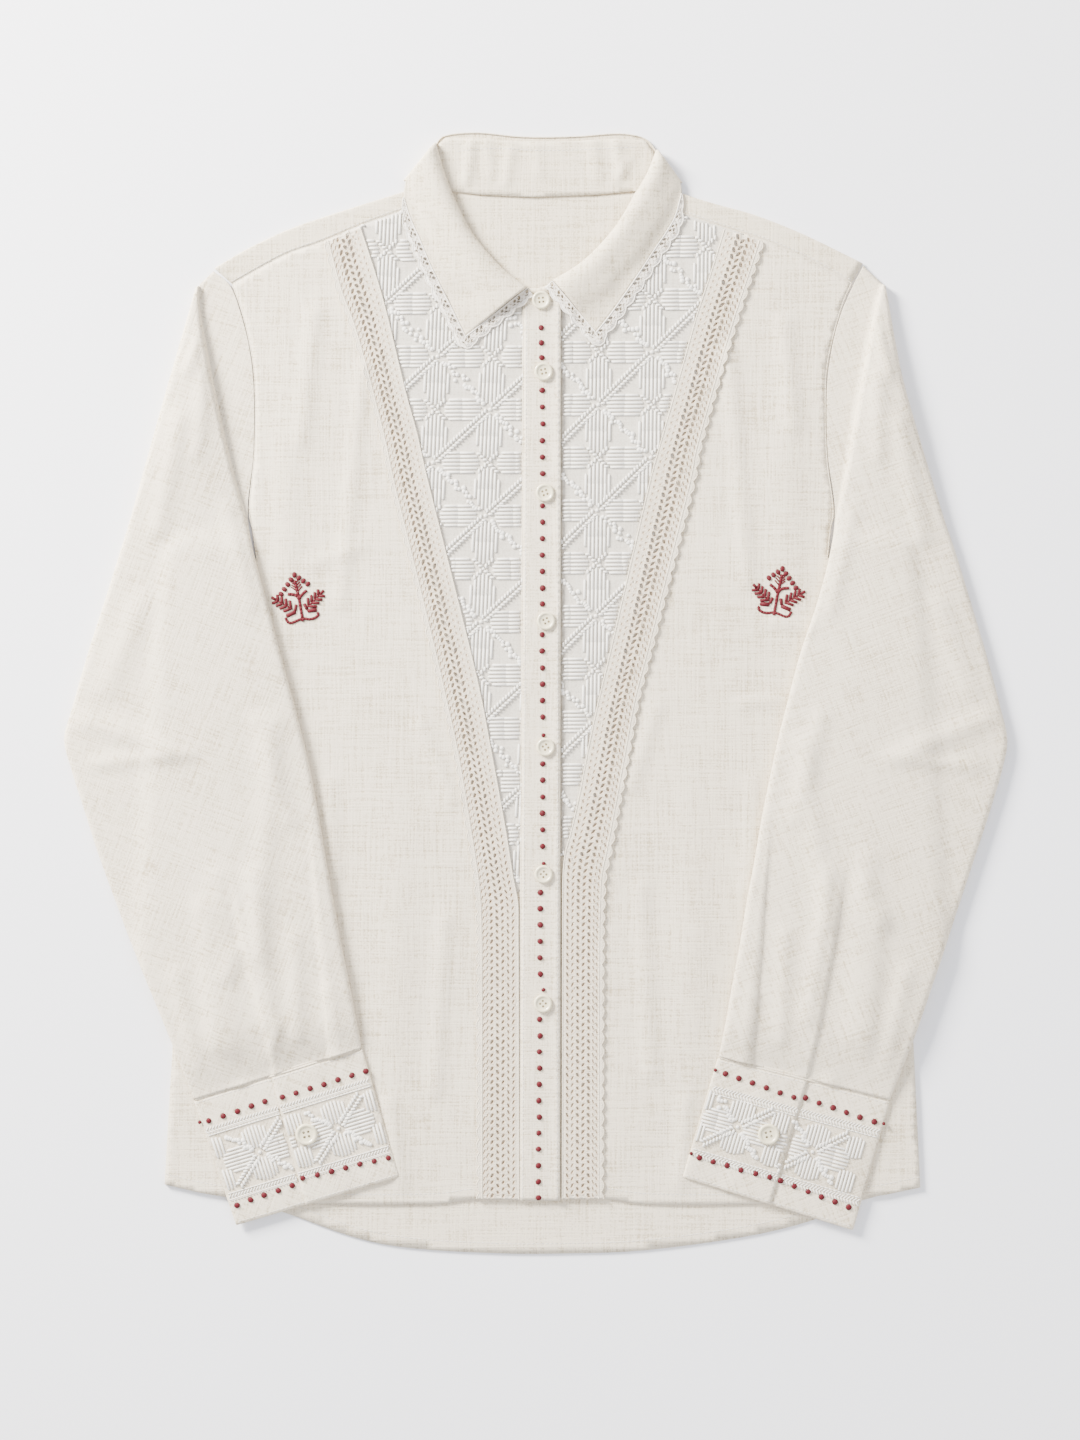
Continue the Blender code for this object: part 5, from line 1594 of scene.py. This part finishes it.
measured = add_node(
    sewing_tree, "GeometryNodeStoreNamedAttribute", {"data_type": "FLOAT", "domain": "POINT"},
    Geometry=whole, Name="along", Value=maths(sewing_tree, "MULTIPLY", length, named("unit_along", "FLOAT")),
).outputs[0]
coated = add_node(sewing_tree, "GeometryNodeSetMaterial", Geometry=measured, Material=given["Finish"])
sewing_tree.links.new(coated.outputs[0], result["Geometry"])


def sewn(name, slot, stitches, unit, finish, surface, sink=0.12):
    """One carried mesh of stitches (x, y, angle, length, width, height) on a surface."""
    table = np.array(stitches, float)
    half = np.column_stack([np.cos(table[:, 2]), np.sin(table[:, 2])]) * table[:, 3:4] / 2
    low, high = surface(table[:, :2] - half), surface(table[:, :2] + half)
    tilt = -np.arctan2(high - low, table[:, 3])
    mesh = new_mesh(name, in_frame(table[:, :2], (low + high) / 2 - sink))
    turns = np.column_stack([np.zeros(len(table)), tilt, table[:, 2]])
    for label, values in (("turn", turns), ("size", table[:, 3:6] * MM)):
        mesh.attributes.new(label, "FLOAT_VECTOR", "POINT").data.foreach_set("vector", values.ravel())
    values = {"Unit": unit, "Width": 1.0, "Height": 1.0, "Finish": finish}
    carried(applied(placed(name, mesh), sewing_tree, values), slot)


# %% [markdown]
# Satin thread lies side by side across the padding, so a ridge shows fine lines across it and a
# soft sheen.

# %% Thread materials
def thread_finish(name, light, deep, roughness, sheen):
    """Embroidery thread with its strands drawn across each stitch, and painted shade at its foot."""
    made, tree, shader, place = new_material(name, light, roughness, sheen=sheen)
    across = add_node(tree, "ShaderNodeCombineXYZ", X=attribute(tree, "along")).outputs[0]
    strands = add_node(tree, "ShaderNodeTexWave", Vector=across, Scale=480, Distortion=0.6).outputs["Fac"]
    fuzz = grains(tree, place, (1300, 1300, 900))
    tone = maths(tree, "MULTIPLY_ADD", strands, 0.55, maths(tree, "MULTIPLY_ADD", fuzz, 0.9, -0.2))
    tone = add_node(tree, "ShaderNodeClamp", Value=tone).outputs[0]
    # Low on a stitch the colour darkens to the foot colour: painted shade where the stitch meets the cloth.
    raised = add_node(tree, "ShaderNodeMapRange", Value=attribute(tree, "up"), From_Min=0.1, From_Max=0.75)
    foot = tuple(value * 0.55 for value in deep)
    color = blended(tree, raised.outputs[0], foot, blended(tree, tone, deep, light))
    relief = maths(tree, "MULTIPLY_ADD", strands, 0.6, maths(tree, "MULTIPLY", fuzz, 0.5))
    dressed(tree, shader, color, relief, 0.5, 0.0003)
    return made


white_thread = thread_finish("white_thread", (0.93, 0.895, 0.825), (0.72, 0.68, 0.60), 0.55, 0.2)
red_thread = thread_finish("red_thread", (0.118, 0.0009, 0.0072), (0.05, 0.0005, 0.003), 0.6, 0.05)
sewing_cotton = thread_finish("sewing_cotton", (0.80, 0.765, 0.70), (0.64, 0.60, 0.53), 0.75, 0.1)

# %% [markdown]
# ## Star trellis
# The inserts carry a traditional counted star trellis: large and small stars on a grid, blocks of
# padded bars that join them, double ropes from large star to large star one way, and rows of
# knots the other way. It is written as rules, so that it can be laid on inserts and cuffs.

# %% Parts of the trellis
BAR_PITCH = 2.55
# Share of the pitch
BAR_WIDTH = 0.78
BAR_HEIGHT = 0.46
BAR_OVERLAP = 2.6
LONGEST_BAR = 16.0
ROPE_PITCH = 2.5
ROPE_STITCH = (3.3, 1.95, 1.45)
ROPE_SLANT = radians(46)
ROPE_APART = 3.1
KNOT_SIZE = 3.3


def heading(way):
    """A unit vector at an angle."""
    return np.array((cos(way), sin(way)))


def bars(centre, way, lengths, apart=BAR_PITCH):
    """Parallel padded bars along a direction, in short lengths."""
    centre, along = np.array(centre, float), heading(way)
    across = np.array((-along[1], along[0]))
    found = []
    for number, length in enumerate(lengths):
        middle = centre + across * (number - (len(lengths) - 1) / 2) * apart
        parts = max(1, ceil(length / LONGEST_BAR))
        for k in range(parts):
            point = middle + along * length * ((k + 0.5) / parts - 0.5)
            long = length / parts + (BAR_OVERLAP if parts > 1 else 0.5)
            found.append((*point, way, long, apart * BAR_WIDTH, apart * BAR_HEIGHT))
    return found


def rope(start, end, slant=ROPE_SLANT):
    """A twisted rope of short slanted stitches from one point to another."""
    start, end = np.array((start, end), float)
    length = norm(end - start)
    way = atan2(*(end - start)[::-1])
    count = max(2, round(length / ROPE_PITCH))
    return [(*(start + (end - start) * (k + 0.5) / count), way + slant, *ROPE_STITCH) for k in range(count)]


def double_rope(start, end):
    """Two ropes side by side, twisted against each other."""
    start, end = np.array((start, end), float)
    along = (end - start) / norm(end - start)
    aside = np.array((-along[1], along[0])) * ROPE_APART / 2
    return rope(start + aside, end + aside) + rope(start - aside, end - aside, -ROPE_SLANT)


def knot_row(start, end, draw, spread=1.7, pitch=1.9):
    """Knots scattered along a line, denser at its middle."""
    start, end = np.array((start, end), float)
    along = end - start
    aside = np.array((-along[1], along[0])) / norm(along)
    found = []
    for share in np.arange(pitch / 2, norm(along), pitch) / norm(along):
        point = start + along * share + aside * draw.normal(0, spread * (0.35 + sin(pi * share)))
        size = KNOT_SIZE * draw.uniform(0.8, 1.2)
        found.append((*point, draw.uniform(0, 3), size, size, 1.3))
    return found


# %% Trellis of the inserts
TRELLIS_PITCH = {"right": (36.2, 35), "left": (35, 34.8)}
# How far each row up moves aside, because the cloth was laid a little askew
TRELLIS_LEAN = {"right": 1.5, "left": 0.4}
TRELLIS_START = {"right": (-68.2, 222.3), "left": (73.2, 225.2)}
TRELLIS_REACH = range(-11, 12)
UP_BARS = (14, 20.5, 26, 28, 26, 20.5, 14)
SIDE_BARS = (17, 21, 23, 23, 21, 17)


def trellis(side, draw):
    """Bars and ropes, and knots, of the whole trellis round one insert."""
    start = np.array(TRELLIS_START[side])
    wide, tall = TRELLIS_PITCH[side]
    right, up = np.array((wide, 0)), np.array((TRELLIS_LEAN[side], tall))
    raised, knots = [], []
    for column in TRELLIS_REACH:
        for row in TRELLIS_REACH:
            star = start + right * column + up * row
            if abs(star[0]) > 160 or not -150 < star[1] < 345 or star[0] * start[0] < -400:
                continue
            raised += bars(star - up / 2, atan2(up[1], up[0]), UP_BARS)
            raised += bars(star + right / 2, 0, SIDE_BARS)
            if (column + row) % 2 == 0:
                raised += double_rope(star + (1.2, 1.2), star + right + up - 1.2)
                far = star + right - up
                knots += knot_row(star + (3.5, -3.5), far + (-3.5, 3.5), draw, 1.1, 1.7)
                knots += [(*star, 0, 2.8, 2.8, 1.1)]
            else:
                for way in (45, 135, 225, 315):
                    out = heading(radians(way))
                    raised += rope(star + out * 1.2, star + out * 9.6)
                knots += [(*star, 0, 2.2, 2.2, 1)]
    return raised, knots


def kept_where(stitches, shown):
    """Stitches cut back to the stretch where shown(points) is true."""
    table = np.array(stitches, float)
    shares = np.linspace(-0.5, 0.5, 7)
    way = np.column_stack([np.cos(table[:, 2]), np.sin(table[:, 2])])
    samples = table[:, None, :2] + way[:, None, :] * (table[:, 3:4] * shares)[:, :, None]
    seen = shown(samples.reshape(-1, 2)).reshape(len(table), -1)
    kept = []
    for stitch, line in zip(table, seen):
        if line.sum() < 3:
            continue
        inside = shares[line]
        low, high = inside.min(), inside.max()
        middle = stitch[:2] + heading(stitch[2]) * stitch[3] * (low + high) / 2
        kept.append((*middle, stitch[2], max(stitch[3] * (high - low), 0.6), *stitch[4:]))
    return kept


def front_surface(points):
    """Upper face of the fronts and inserts."""
    return front_height(points) + CLOTH / 2


def placket_surface(points):
    """Upper face of the placket."""
    return placket_height(points) + CLOTH / 2


for side, seed in (("right", 31), ("left", 32)):
    hidden = [tape_ring(side), np.array(placket_ring()), stand_ring()]
    inner, outer = collar_edge(side)
    leaf = np.array([row[:2] for row in COLLAR if not row[4] and (row[0] < 0) == (side == "right")])
    leaf = leaf if side == "right" else leaf[::-1]
    hidden.append(np.vstack([outer, leaf]))
    ring = np.array(insert_ring(side))

    def shown(points):
        seen = is_inside(points, ring)
        for cover in hidden:
            seen &= ~is_inside(points, cover)
        return seen

    raised, knots = trellis(side, np.random.default_rng(seed))
    raised, knots = kept_where(raised, shown), kept_where(knots, shown)
    for label, stitches, unit in (("satin", raised, stitch_unit), ("knots", knots, knot_unit)):
        sewn(f"{side}_insert_{label}", "embroidered_ground", stitches, unit, white_thread, front_surface)
    print(f"{side} insert: {len(raised)} stitches and {len(knots)} knots")

# %% [markdown]
# ## Cuff bands and knots
# The cuffs carry one row of the same stars, between two rows of red knots. The work is written on
# a cuff's own grid and carried over to its real place, so that it leans with the sleeve.

# %% Cuff work
# Share of the way across, and millimetres below the middle of the band
CUFF_STARS = {"right": ((0.265, 0), (0.742, 0)), "left": ((0.34, 0), (0.785, -2.5))}
LAP_BARE = 0.6
CUFF_PITCH = 2.4
CUFF_UP_BARS = (11, 13.5, 15.5, 16, 15.5, 13.5, 11)
CUFF_SIDE_BARS = (13, 16.5, 19, 19.5, 19, 16.5, 13)
CUFF_END_BARS = (12.5, 14.5, 15, 14.5, 12.5)
DOT_SIZE = 4.2
# Share of a knot's size that shows where a row goes round a fold
AT_FOLD = 0.6


def cuff_frame(side):
    """The way across a cuff and the way down it, as long as the cuff is."""
    corners = cuff_place(side, np.array([0, 1, 0.5, 0.5]), np.array([0.5, 0.5, 0, 1]))
    across, down = corners[1] - corners[0], corners[3] - corners[2]
    return across, down


def on_cuff(side, stitches):
    """Moves stitches from the cuff's own millimetres to the plan."""
    across, down = cuff_frame(side)
    table = np.array(stitches, float)
    ways = np.column_stack([np.cos(table[:, 2]), np.sin(table[:, 2])])
    ends = []
    for sign in (-0.5, 0.5):
        own = table[:, :2] + ways * table[:, 3:4] * sign
        ends.append(cuff_place(side, own[:, 0] / norm(across), own[:, 1] / norm(down)))
    way = ends[1] - ends[0]
    table[:, :2] = (ends[0] + ends[1]) / 2
    table[:, 2] = np.arctan2(way[:, 1], way[:, 0])
    table[:, 3] = norm(way, axis=1)
    return [tuple(row) for row in table]


def cuff_work(side, draw):
    """Satin and knots of one cuff, in the cuff's own millimetres."""
    across, down = cuff_frame(side)
    wide, tall = norm(across), norm(down)
    low, high = CUFF_BAND[0] * tall, CUFF_BAND[1] * tall
    middle = (low + high) / 2
    lean = 1.0 if side == "right" else -1.0
    satin, knots = [], []
    stars = [np.array((share * wide, middle + below)) for share, below in CUFF_STARS[side]]
    for star in stars:
        for sign in (-1, 1):
            satin += bars(star + (0, sign * 11), pi / 2, CUFF_UP_BARS, CUFF_PITCH)
            satin += bars(star + (sign * 14.2, 0), 0, CUFF_SIDE_BARS, CUFF_PITCH)
            reach = np.array((20, -17.5 * lean)) * sign
            satin += double_rope(star + reach * 0.1, star + reach)
            other = np.array((18, 16.5 * lean)) * sign
            knots += knot_row(star + other * 0.2, star + other, draw, 1, 1.5)
        knots.append((*star, 0, 2.8, 2.8, 1.3))
    step = (stars[1] - stars[0]) / 2
    for point in (stars[0] - step, stars[0] + step, stars[1] + step):
        for sign in (-1, 1):
            satin += bars(point + (0, sign * 11.2), pi / 2, CUFF_END_BARS, CUFF_PITCH)
    for line, way in ((low - 1.9, 0.8), (low - 4.3, -0.8), (high + 1.9, -0.8), (high + 4.3, 0.8)):
        edge = np.arange(2, wide - 1, 2.1)
        satin += [(x, line, way * lean, 3.4, 1, 0.7) for x in edge]
    satin += [(x, line, 0, 3.6, 0.9, 0.8) for x in np.arange(3, wide - 2, 3) for line in (low, high)]
    at_top, at_foot = (lap_across(side, place) * wide for place in (0, 1))

    def from_lap(points):
        return points[:, 0] - at_top - (at_foot - at_top) * points[:, 1] / tall

    satin = [stitch for stitch in satin if 1.5 < stitch[0] < wide - 1.5]
    beneath = kept_where(satin, lambda points: from_lap(points) < -LAP_BARE)
    satin = beneath + kept_where(satin, lambda points: from_lap(points) > LAP_BARE)
    return satin, [knot for knot in knots if low < knot[1] < high and 1.5 < knot[0] < wide - 1.5]


def cuff_top(side):
    """Height of a cuff's upper face, with the lapped end lying higher."""
    corner = cuff_place(side, np.zeros(1), np.zeros(1))[0]
    across, down = cuff_frame(side)
    turned = np.linalg.inv(np.column_stack([across, down]))

    def height(points):
        shares = (np.asarray(points) - corner) @ turned.T
        laps = np.array([lap_across(side, float(share)) for share in np.clip(shares[:, 1], 0, 1)])
        climb = eased((laps + CUFF_UNDERLAP + 0.13 - shares[:, 0]) / 0.1) * (shares[:, 0] > laps)
        folds = np.maximum(uneven(points, CUFF_WAVES, 5), -0.1)
        return CUFF_TOP + (CUFF_LAP - CUFF_TOP) * climb + CLOTH / 2 + folds

    return height


for side, seed in (("right", 41), ("left", 42)):
    satin, knots = cuff_work(side, np.random.default_rng(seed))
    top = cuff_top(side)
    for label, stitches, unit in (("satin", satin, stitch_unit), ("knots", knots, knot_unit)):
        sewn(f"{side}_cuff_{label}", "embroidered_ground", on_cuff(side, stitches), unit, white_thread, top)
    print(f"{side} cuff: {len(satin)} stitches and {len(knots)} knots")

# %% [markdown]
# The red knots are single French knots, at even steps that leave room for the buttons. They lean
# to one side towards the hem, as the laid placket does.

# %% Red knots
# First and last place of each row, and how many knots it has
FRONT_KNOTS = (
    (241.2, 221.4, 3), (199.6, 144.9, 6), (123.8, 58.7, 7), (38.6, -15.5, 6), (-46.3, -100.7, 6),
    (-131, -184.9, 6), (-214.8, -332.6, 12),
)
SMALL_KNOTS = (-27.4, -112, -195.2)
# Heights on the plan, and the place across of the knots there
KNOT_LINE = ((-334, -240, -125, -108, 200, 242), (-2, -0.9, -0.4, 1.1, 1, 0.2))
CUFF_KNOTS = {
    "right": (
        ((-218.8, -281.6), (-181.6, -268.9), 5), ((-170.5, -265.7), (-115.4, -249), 7),
        ((-200.6, -337.1), (-163.9, -323.8), 5), ((-156.8, -319), (-100.5, -305.8), 7),
        ((-225, -282.4), (-225, -282.4), 1),
    ),
    "left": (
        ((121.4, -250.4), (166.5, -266), 6), ((174.2, -266.6), (219.5, -282.3), 6),
        ((104.2, -305.7), (150.5, -318.7), 6), ((157.7, -321.1), (202.8, -338.5), 6),
        ((114.9, -248), (114.9, -248), 1), ((226, -283.1), (226, -283.1), 1),
        ((99, -303.2), (99, -303.2), 1),
    ),
}
knot_draw = np.random.default_rng(51)


def knot_line(start, end, count, size=DOT_SIZE):
    """Red knots at even steps, a little uneven in size and place."""
    start, end = np.array((start, end), float)
    found = []
    for share in np.linspace(0, 1, count):
        place = start + (end - start) * share + knot_draw.normal(0, 0.15, 2)
        sizes = size * knot_draw.uniform(0.92, 1.08, 2)
        found.append((*place, knot_draw.uniform(0, 3), *sizes, 1.35))
    return found


front_knots = []
for high, low, count in FRONT_KNOTS:
    for place in np.linspace(high, low, count):
        spot = (np.interp(place, *KNOT_LINE), place)
        front_knots += knot_line(spot, spot, 1)
for place in SMALL_KNOTS:
    front_knots += knot_line((1.6, place), (1.6, place), 1, DOT_SIZE * 0.7)
sewn("front_knots", "red_thread", front_knots, knot_unit, red_thread, placket_surface)
for side in SIDES:
    dots = []
    for start, end, count in CUFF_KNOTS[side]:
        dots += knot_line(start, end, count, DOT_SIZE * (1.0 if count > 1 else AT_FOLD))
    sewn(f"{side}_cuff_red_knots", "red_thread", dots, knot_unit, red_thread, cuff_top(side))
print(f"{len(front_knots)} red knots down the front")

# %% [markdown]
# ## Red sprigs
# Each front has a small sprig in red satin stitch, of a kind that folk embroidery shares: a stem
# with paired twigs, an arch of buds, two leaf sprays and a looped foot. It is drawn here by rules
# in its own millimetres, and the second one is mirrored.

# %% Sprig
SPRIG_CENTRE = {"right": (-159.4, 61), "left": (156, 65)}
SPRIG_STEM = ((2.5, -13.5), (1, -5.5), (0, 0.5), (-1.5, 7), (-2.5, 11.5), (-3, 13.5))
SPRIG_FOOT = (
    (-9, -11), (-7.5, -14), (-5, -14.5), (-1.5, -13), (2.5, -11.5), (6, -12), (9.5, -11.5), (12, -10),
    (13, -8.5), (12, -7.5),
)
SPRIG_ARMS = (((0, 1), (-2.5, 4), (-7.5, 4.5)), ((0, 1.5), (2, 4.5), (5, 7)))
# Lower leaves: foot, way in degrees, length and width
LOWER_LEAVES = (
    ((-2, -2), 262, 5, 2.4), ((-2, -7), 204, 7.5, 3.2), ((3, -1.5), 298, 5, 2.4), ((5, -6.5), 6, 7, 3.2),
)
THREAD = (1.35, 0.7)
FAT = (2.25, 0.95)
TWIG = (1.15, 0.65)


def stitch_run(line, pitch, size, share=1, more=0):
    """Stitches along a line, as long as a share of their pitch and a little more."""
    points, found = spaced(line, pitch), []
    for start, end in zip(points, points[1:]):
        way = end - start
        found.append((*(start + end) / 2, atan2(way[1], way[0]), norm(way) * share + more, *size))
    return found


def running(points, length, size):
    """Stitches end to end along a smooth line."""
    return stitch_run(smooth_line(points, 6), length, size, more=0.45)


def leaf(place, way, length, size):
    """One satin leaf from its foot outwards."""
    place = np.array(place, float)
    tip = place + heading(way) * length
    return (*(place + tip) / 2, way, length, *size)


def spray(foot, way, length):
    """A rib with paired leaves that grow shorter to its tip."""
    foot, along = np.array(foot, float), heading(way)
    found = running([foot, foot + along * length * 0.5, foot + along * length], 2.2, THREAD)
    for k in range(4):
        place = foot + along * length * (0.08 + 0.26 * k)
        for turn in (-50, 50):
            found.append(leaf(place, way + radians(turn), 5.8 - 0.4 * k, FAT))
    found.append(leaf(foot + along * length, way, 3.6, FAT))
    return found


def sprig():
    """All stitches and buds of one sprig, about 34 mm across."""
    found = running(SPRIG_STEM, 2.4, (2.3, 0.9)) + running(SPRIG_FOOT, 2, (2.2, 0.85))
    for arm in SPRIG_ARMS:
        found += running(arm, 2.2, (2.4, 0.95))
    for k in range(4):
        place = (-1.1 - 0.45 * k, 6.2 + 1.9 * k)
        found.append(leaf(place, radians(144), 5.2 - 0.6 * k, TWIG))
        found.append(leaf(place, radians(50), 5.0 - 0.6 * k, TWIG))
    found += spray((-4.5, -5.5), radians(150), 12.5) + spray((5.5, -4), radians(46), 12)
    found += [leaf(place, radians(way), length, (wide, 0.95)) for place, way, length, wide in LOWER_LEAVES]
    buds = [(-3.2, 17.2, 1.57, 4.4, 3.5, 1.15)]
    for steps, across, down in ((4, -2.2, -3.15), (3, 2.95, -2)):
        way = atan2(down, across)
        for k in range(1, steps + 1):
            buds.append((-3.2 + across * k, 17.2 + down * k, way + 1.57, 4.2, 3.4, 1.15))
    return found, buds


for side in SIDES:
    sign = 1.0 if side == "right" else -1.0
    pieces = []
    for stitches in sprig():
        table = np.array(stitches)
        table[:, 0] *= sign
        if sign < 0:
            table[:, 2] = pi - table[:, 2]
        table[:, :2] += SPRIG_CENTRE[side]
        pieces.append(table)
    sewn(f"{side}_sprig", "red_thread", pieces[0], stitch_unit, red_thread, front_surface, 0.05)
    sewn(f"{side}_sprig_buds", "red_thread", pieces[1], knot_unit, red_thread, front_surface, 0.05)
    print(f"{side} sprig: {len(pieces[0])} stitches and {len(pieces[1])} buds")

# %% [markdown]
# ## Seams and topstitching
# What makes cut pieces read as a sewn shirt is the row of small stitches beside each seam, and
# the thin welt in it, a cord of linen sunk into the seam's line.

# %% Stitch lines
STITCH_PITCH = 3.0
STITCH_SHARE = 0.78
STITCH_SIZE = (0.5, 0.24)
HEM_DEPTH = 7.0
BACK_HEM_DEPTH = 6.6
STITCH_INSET = 1.8


def stitched(line):
    """Small stitches with short gaps along a line."""
    return stitch_run(line, STITCH_PITCH, STITCH_SIZE, STITCH_SHARE)


def topstitch(name, rows, surface):
    sewn(name, "linen", rows, stitch_unit, sewing_cotton, surface, 0.05)


def back_surface(points):
    return np.full(len(points), BACK_MID + CLOTH / 2)


def stand_surface(points):
    return stand_height(points) + CLOTH / 2


for side in SIDES:
    sign = 1 if side == "right" else -1
    foot = PLACKET_LEFT if side == "right" else PLACKET_RIGHT
    hem = smooth_line(FRONT_HEM[side], 6)
    hem = hem[np.abs(hem[:, 0]) > 42]
    rows = stitched(hem + np.array((0, HEM_DEPTH)))
    seam = smooth_line(YOKE_SEAM[side], 6)
    seam = seam[edge_distance(seam, np.vstack(collar_edge(side))) > 6]
    rows += stitched(seam + np.array((0, STITCH_INSET)))
    topstitch(f"{side}_front_stitching", rows, front_surface)
    aside = sign * STITCH_INSET
    edge = [(foot[0] + aside, PLACKET_TOP - 8), (foot[1] + aside, HEM_AT_PLACKET + 1)]
    topstitch(f"{side}_placket_stitching", stitched(edge), placket_surface)
    wide, tall = (norm(way) for way in cuff_frame(side))
    rows = []
    for down in (0.02, 0.98):
        rows += stitched([(1.5, down * tall), (wide - 1.5, down * tall)])
    topstitch(f"{side}_cuff_stitching", on_cuff(side, rows), cuff_top(side))
shirt_tail = smooth_line(BACK_HEM, 6)[6:-6]
tail = shirt_tail - right_of(shirt_tail) * BACK_HEM_DEPTH
topstitch("back_hem_stitching", stitched(tail), back_surface)
STAND_STITCH = ((-55.5, 357.5), (-30, 359.5), (0, 358), (35, 359), (64, 360.5))
topstitch("stand_stitching", stitched(smooth_line(STAND_STITCH, 6)), stand_surface)

# %% Welts
WELT = 0.5
WELT_SINK = 0.42
CUFF_WELT = 0.95
for side in SIDES:
    seam = smooth_line(YOKE_SEAM[side], 6)
    armhole = smooth_line(ARMHOLE[side], 6)
    lines = [in_frame(line, front_surface(line) - WELT_SINK) for line in (seam, armhole)]
    if side == "right":
        high, low = (PLACKET_LEFT[0] - 0.35, PLACKET_TOP - 8), (PLACKET_LEFT[1] - 0.35, HEM_AT_PLACKET + 0.5)
        edge = spaced([high, low], 6)
        lines.append(in_frame(edge, placket_surface(edge) - 0.55))
    across = np.linspace(0.01, 0.99, 24)
    welts = cords(f"{side}_seam_welts", lines, WELT, body_linen)
    carried(welts, "linen")
    lines = []
    for down, sink in ((-0.006, 0.8), (-0.022, 1.1)):
        mouth = cuff_place(side, across, np.full(len(across), down))
        lines.append(in_frame(mouth, cuff_top(side)(mouth) - sink))
    carried(cords(f"{side}_cuff_welt", lines, CUFF_WELT, body_linen), "linen")
neck = smooth_line(BACK_NECK, 6)
neck_line = in_frame(neck, np.full(len(neck), BACK_MID + CLOTH / 2 + 0.3))
carried(cords("neck_welt", [neck_line], 0.42, cross_linen), "linen")
print("Seams have their welts and topstitching")

# %% [markdown]
# ## The cut of each sheet
# Cloth is cut flat and then laid or folded. For each sheet the rectangle that it is cut from is
# worked out, with the list of what it lies on.

YOKE_STRIP = 0.036
CUFF_LAPPED = 1.22
# What the collar's curve and points, the tape's scallops and the sleeve's cap add, and depths
STAND_CURVE, COLLAR_POINTS, TAPE_SPREAD, SLEEVE_CAP = 1.12, 1.1, 1.06, 1.08
STAND_DEPTH, COLLAR_DEPTH = 0.046, 0.075


def laid_size(piece):
    """Width and length of a laid piece."""
    corners = np.array([tuple(vertex.co) for vertex in piece.data.vertices])
    return np.ptp(corners[:, :2], axis=0)


def declared(name, rests_on, flat=None):
    """Works out a sheet's width and length, its laid size if no other is given, and the list of what it lies
    on.
    """
    piece = bpy.data.objects[name]
    width, length = (round(float(side), 4) for side in (laid_size(piece) if flat is None else flat))
    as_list(rests_on)


declared("back_cloth", ["surface"])
flat = laid_size(yoke) + (0, YOKE_STRIP)
declared("yoke_cloth", ["surface", "back_cloth"], flat)
declared("button_band_cloth", ["back_cloth"])
declared("placket_cloth", ["button_band_cloth"])
run = run_along(collar_middle())[-1] * MM
under, flat = ["back_cloth", "yoke_cloth"], (run * STAND_CURVE, STAND_DEPTH)
declared("collar_stand_cloth", under, flat)
under, flat = ["collar_stand_cloth", "placket_cloth"], (run * COLLAR_POINTS, COLLAR_DEPTH)
declared("collar_cloth", under, flat)
for side in SIDES:
    front, ground = f"{side}_front_cloth", f"{side}_insert_ground"
    declared(front, ["back_cloth"])
    declared(ground, ["back_cloth"])
    run = run_along(np.array(tape_centre(side, 0)))[-1] * MM
    flat = (TAPE_WIDTH * TAPE_SPREAD * MM, run)
    declared(f"{side}_tape_lace", [front, ground], flat)
    rows = np.array(SLEEVE[side])
    long = run_along((rows[:, :2] + rows[:, 2:4]) / 2)[-1] * MM
    broad = 2 * norm(rows[:, 2:4] - rows[:, :2], axis=1).max() * MM
    declared(f"{side}_sleeve_cloth", ["surface", front], flat=(broad, long * SLEEVE_CAP))
    across, down = cuff_frame(side)
    flat = (2 * norm(across) * CUFF_LAPPED * MM, norm(down) * MM)
    declared(f"{side}_cuff_cloth", [front, f"{side}_sleeve_cloth"], flat)
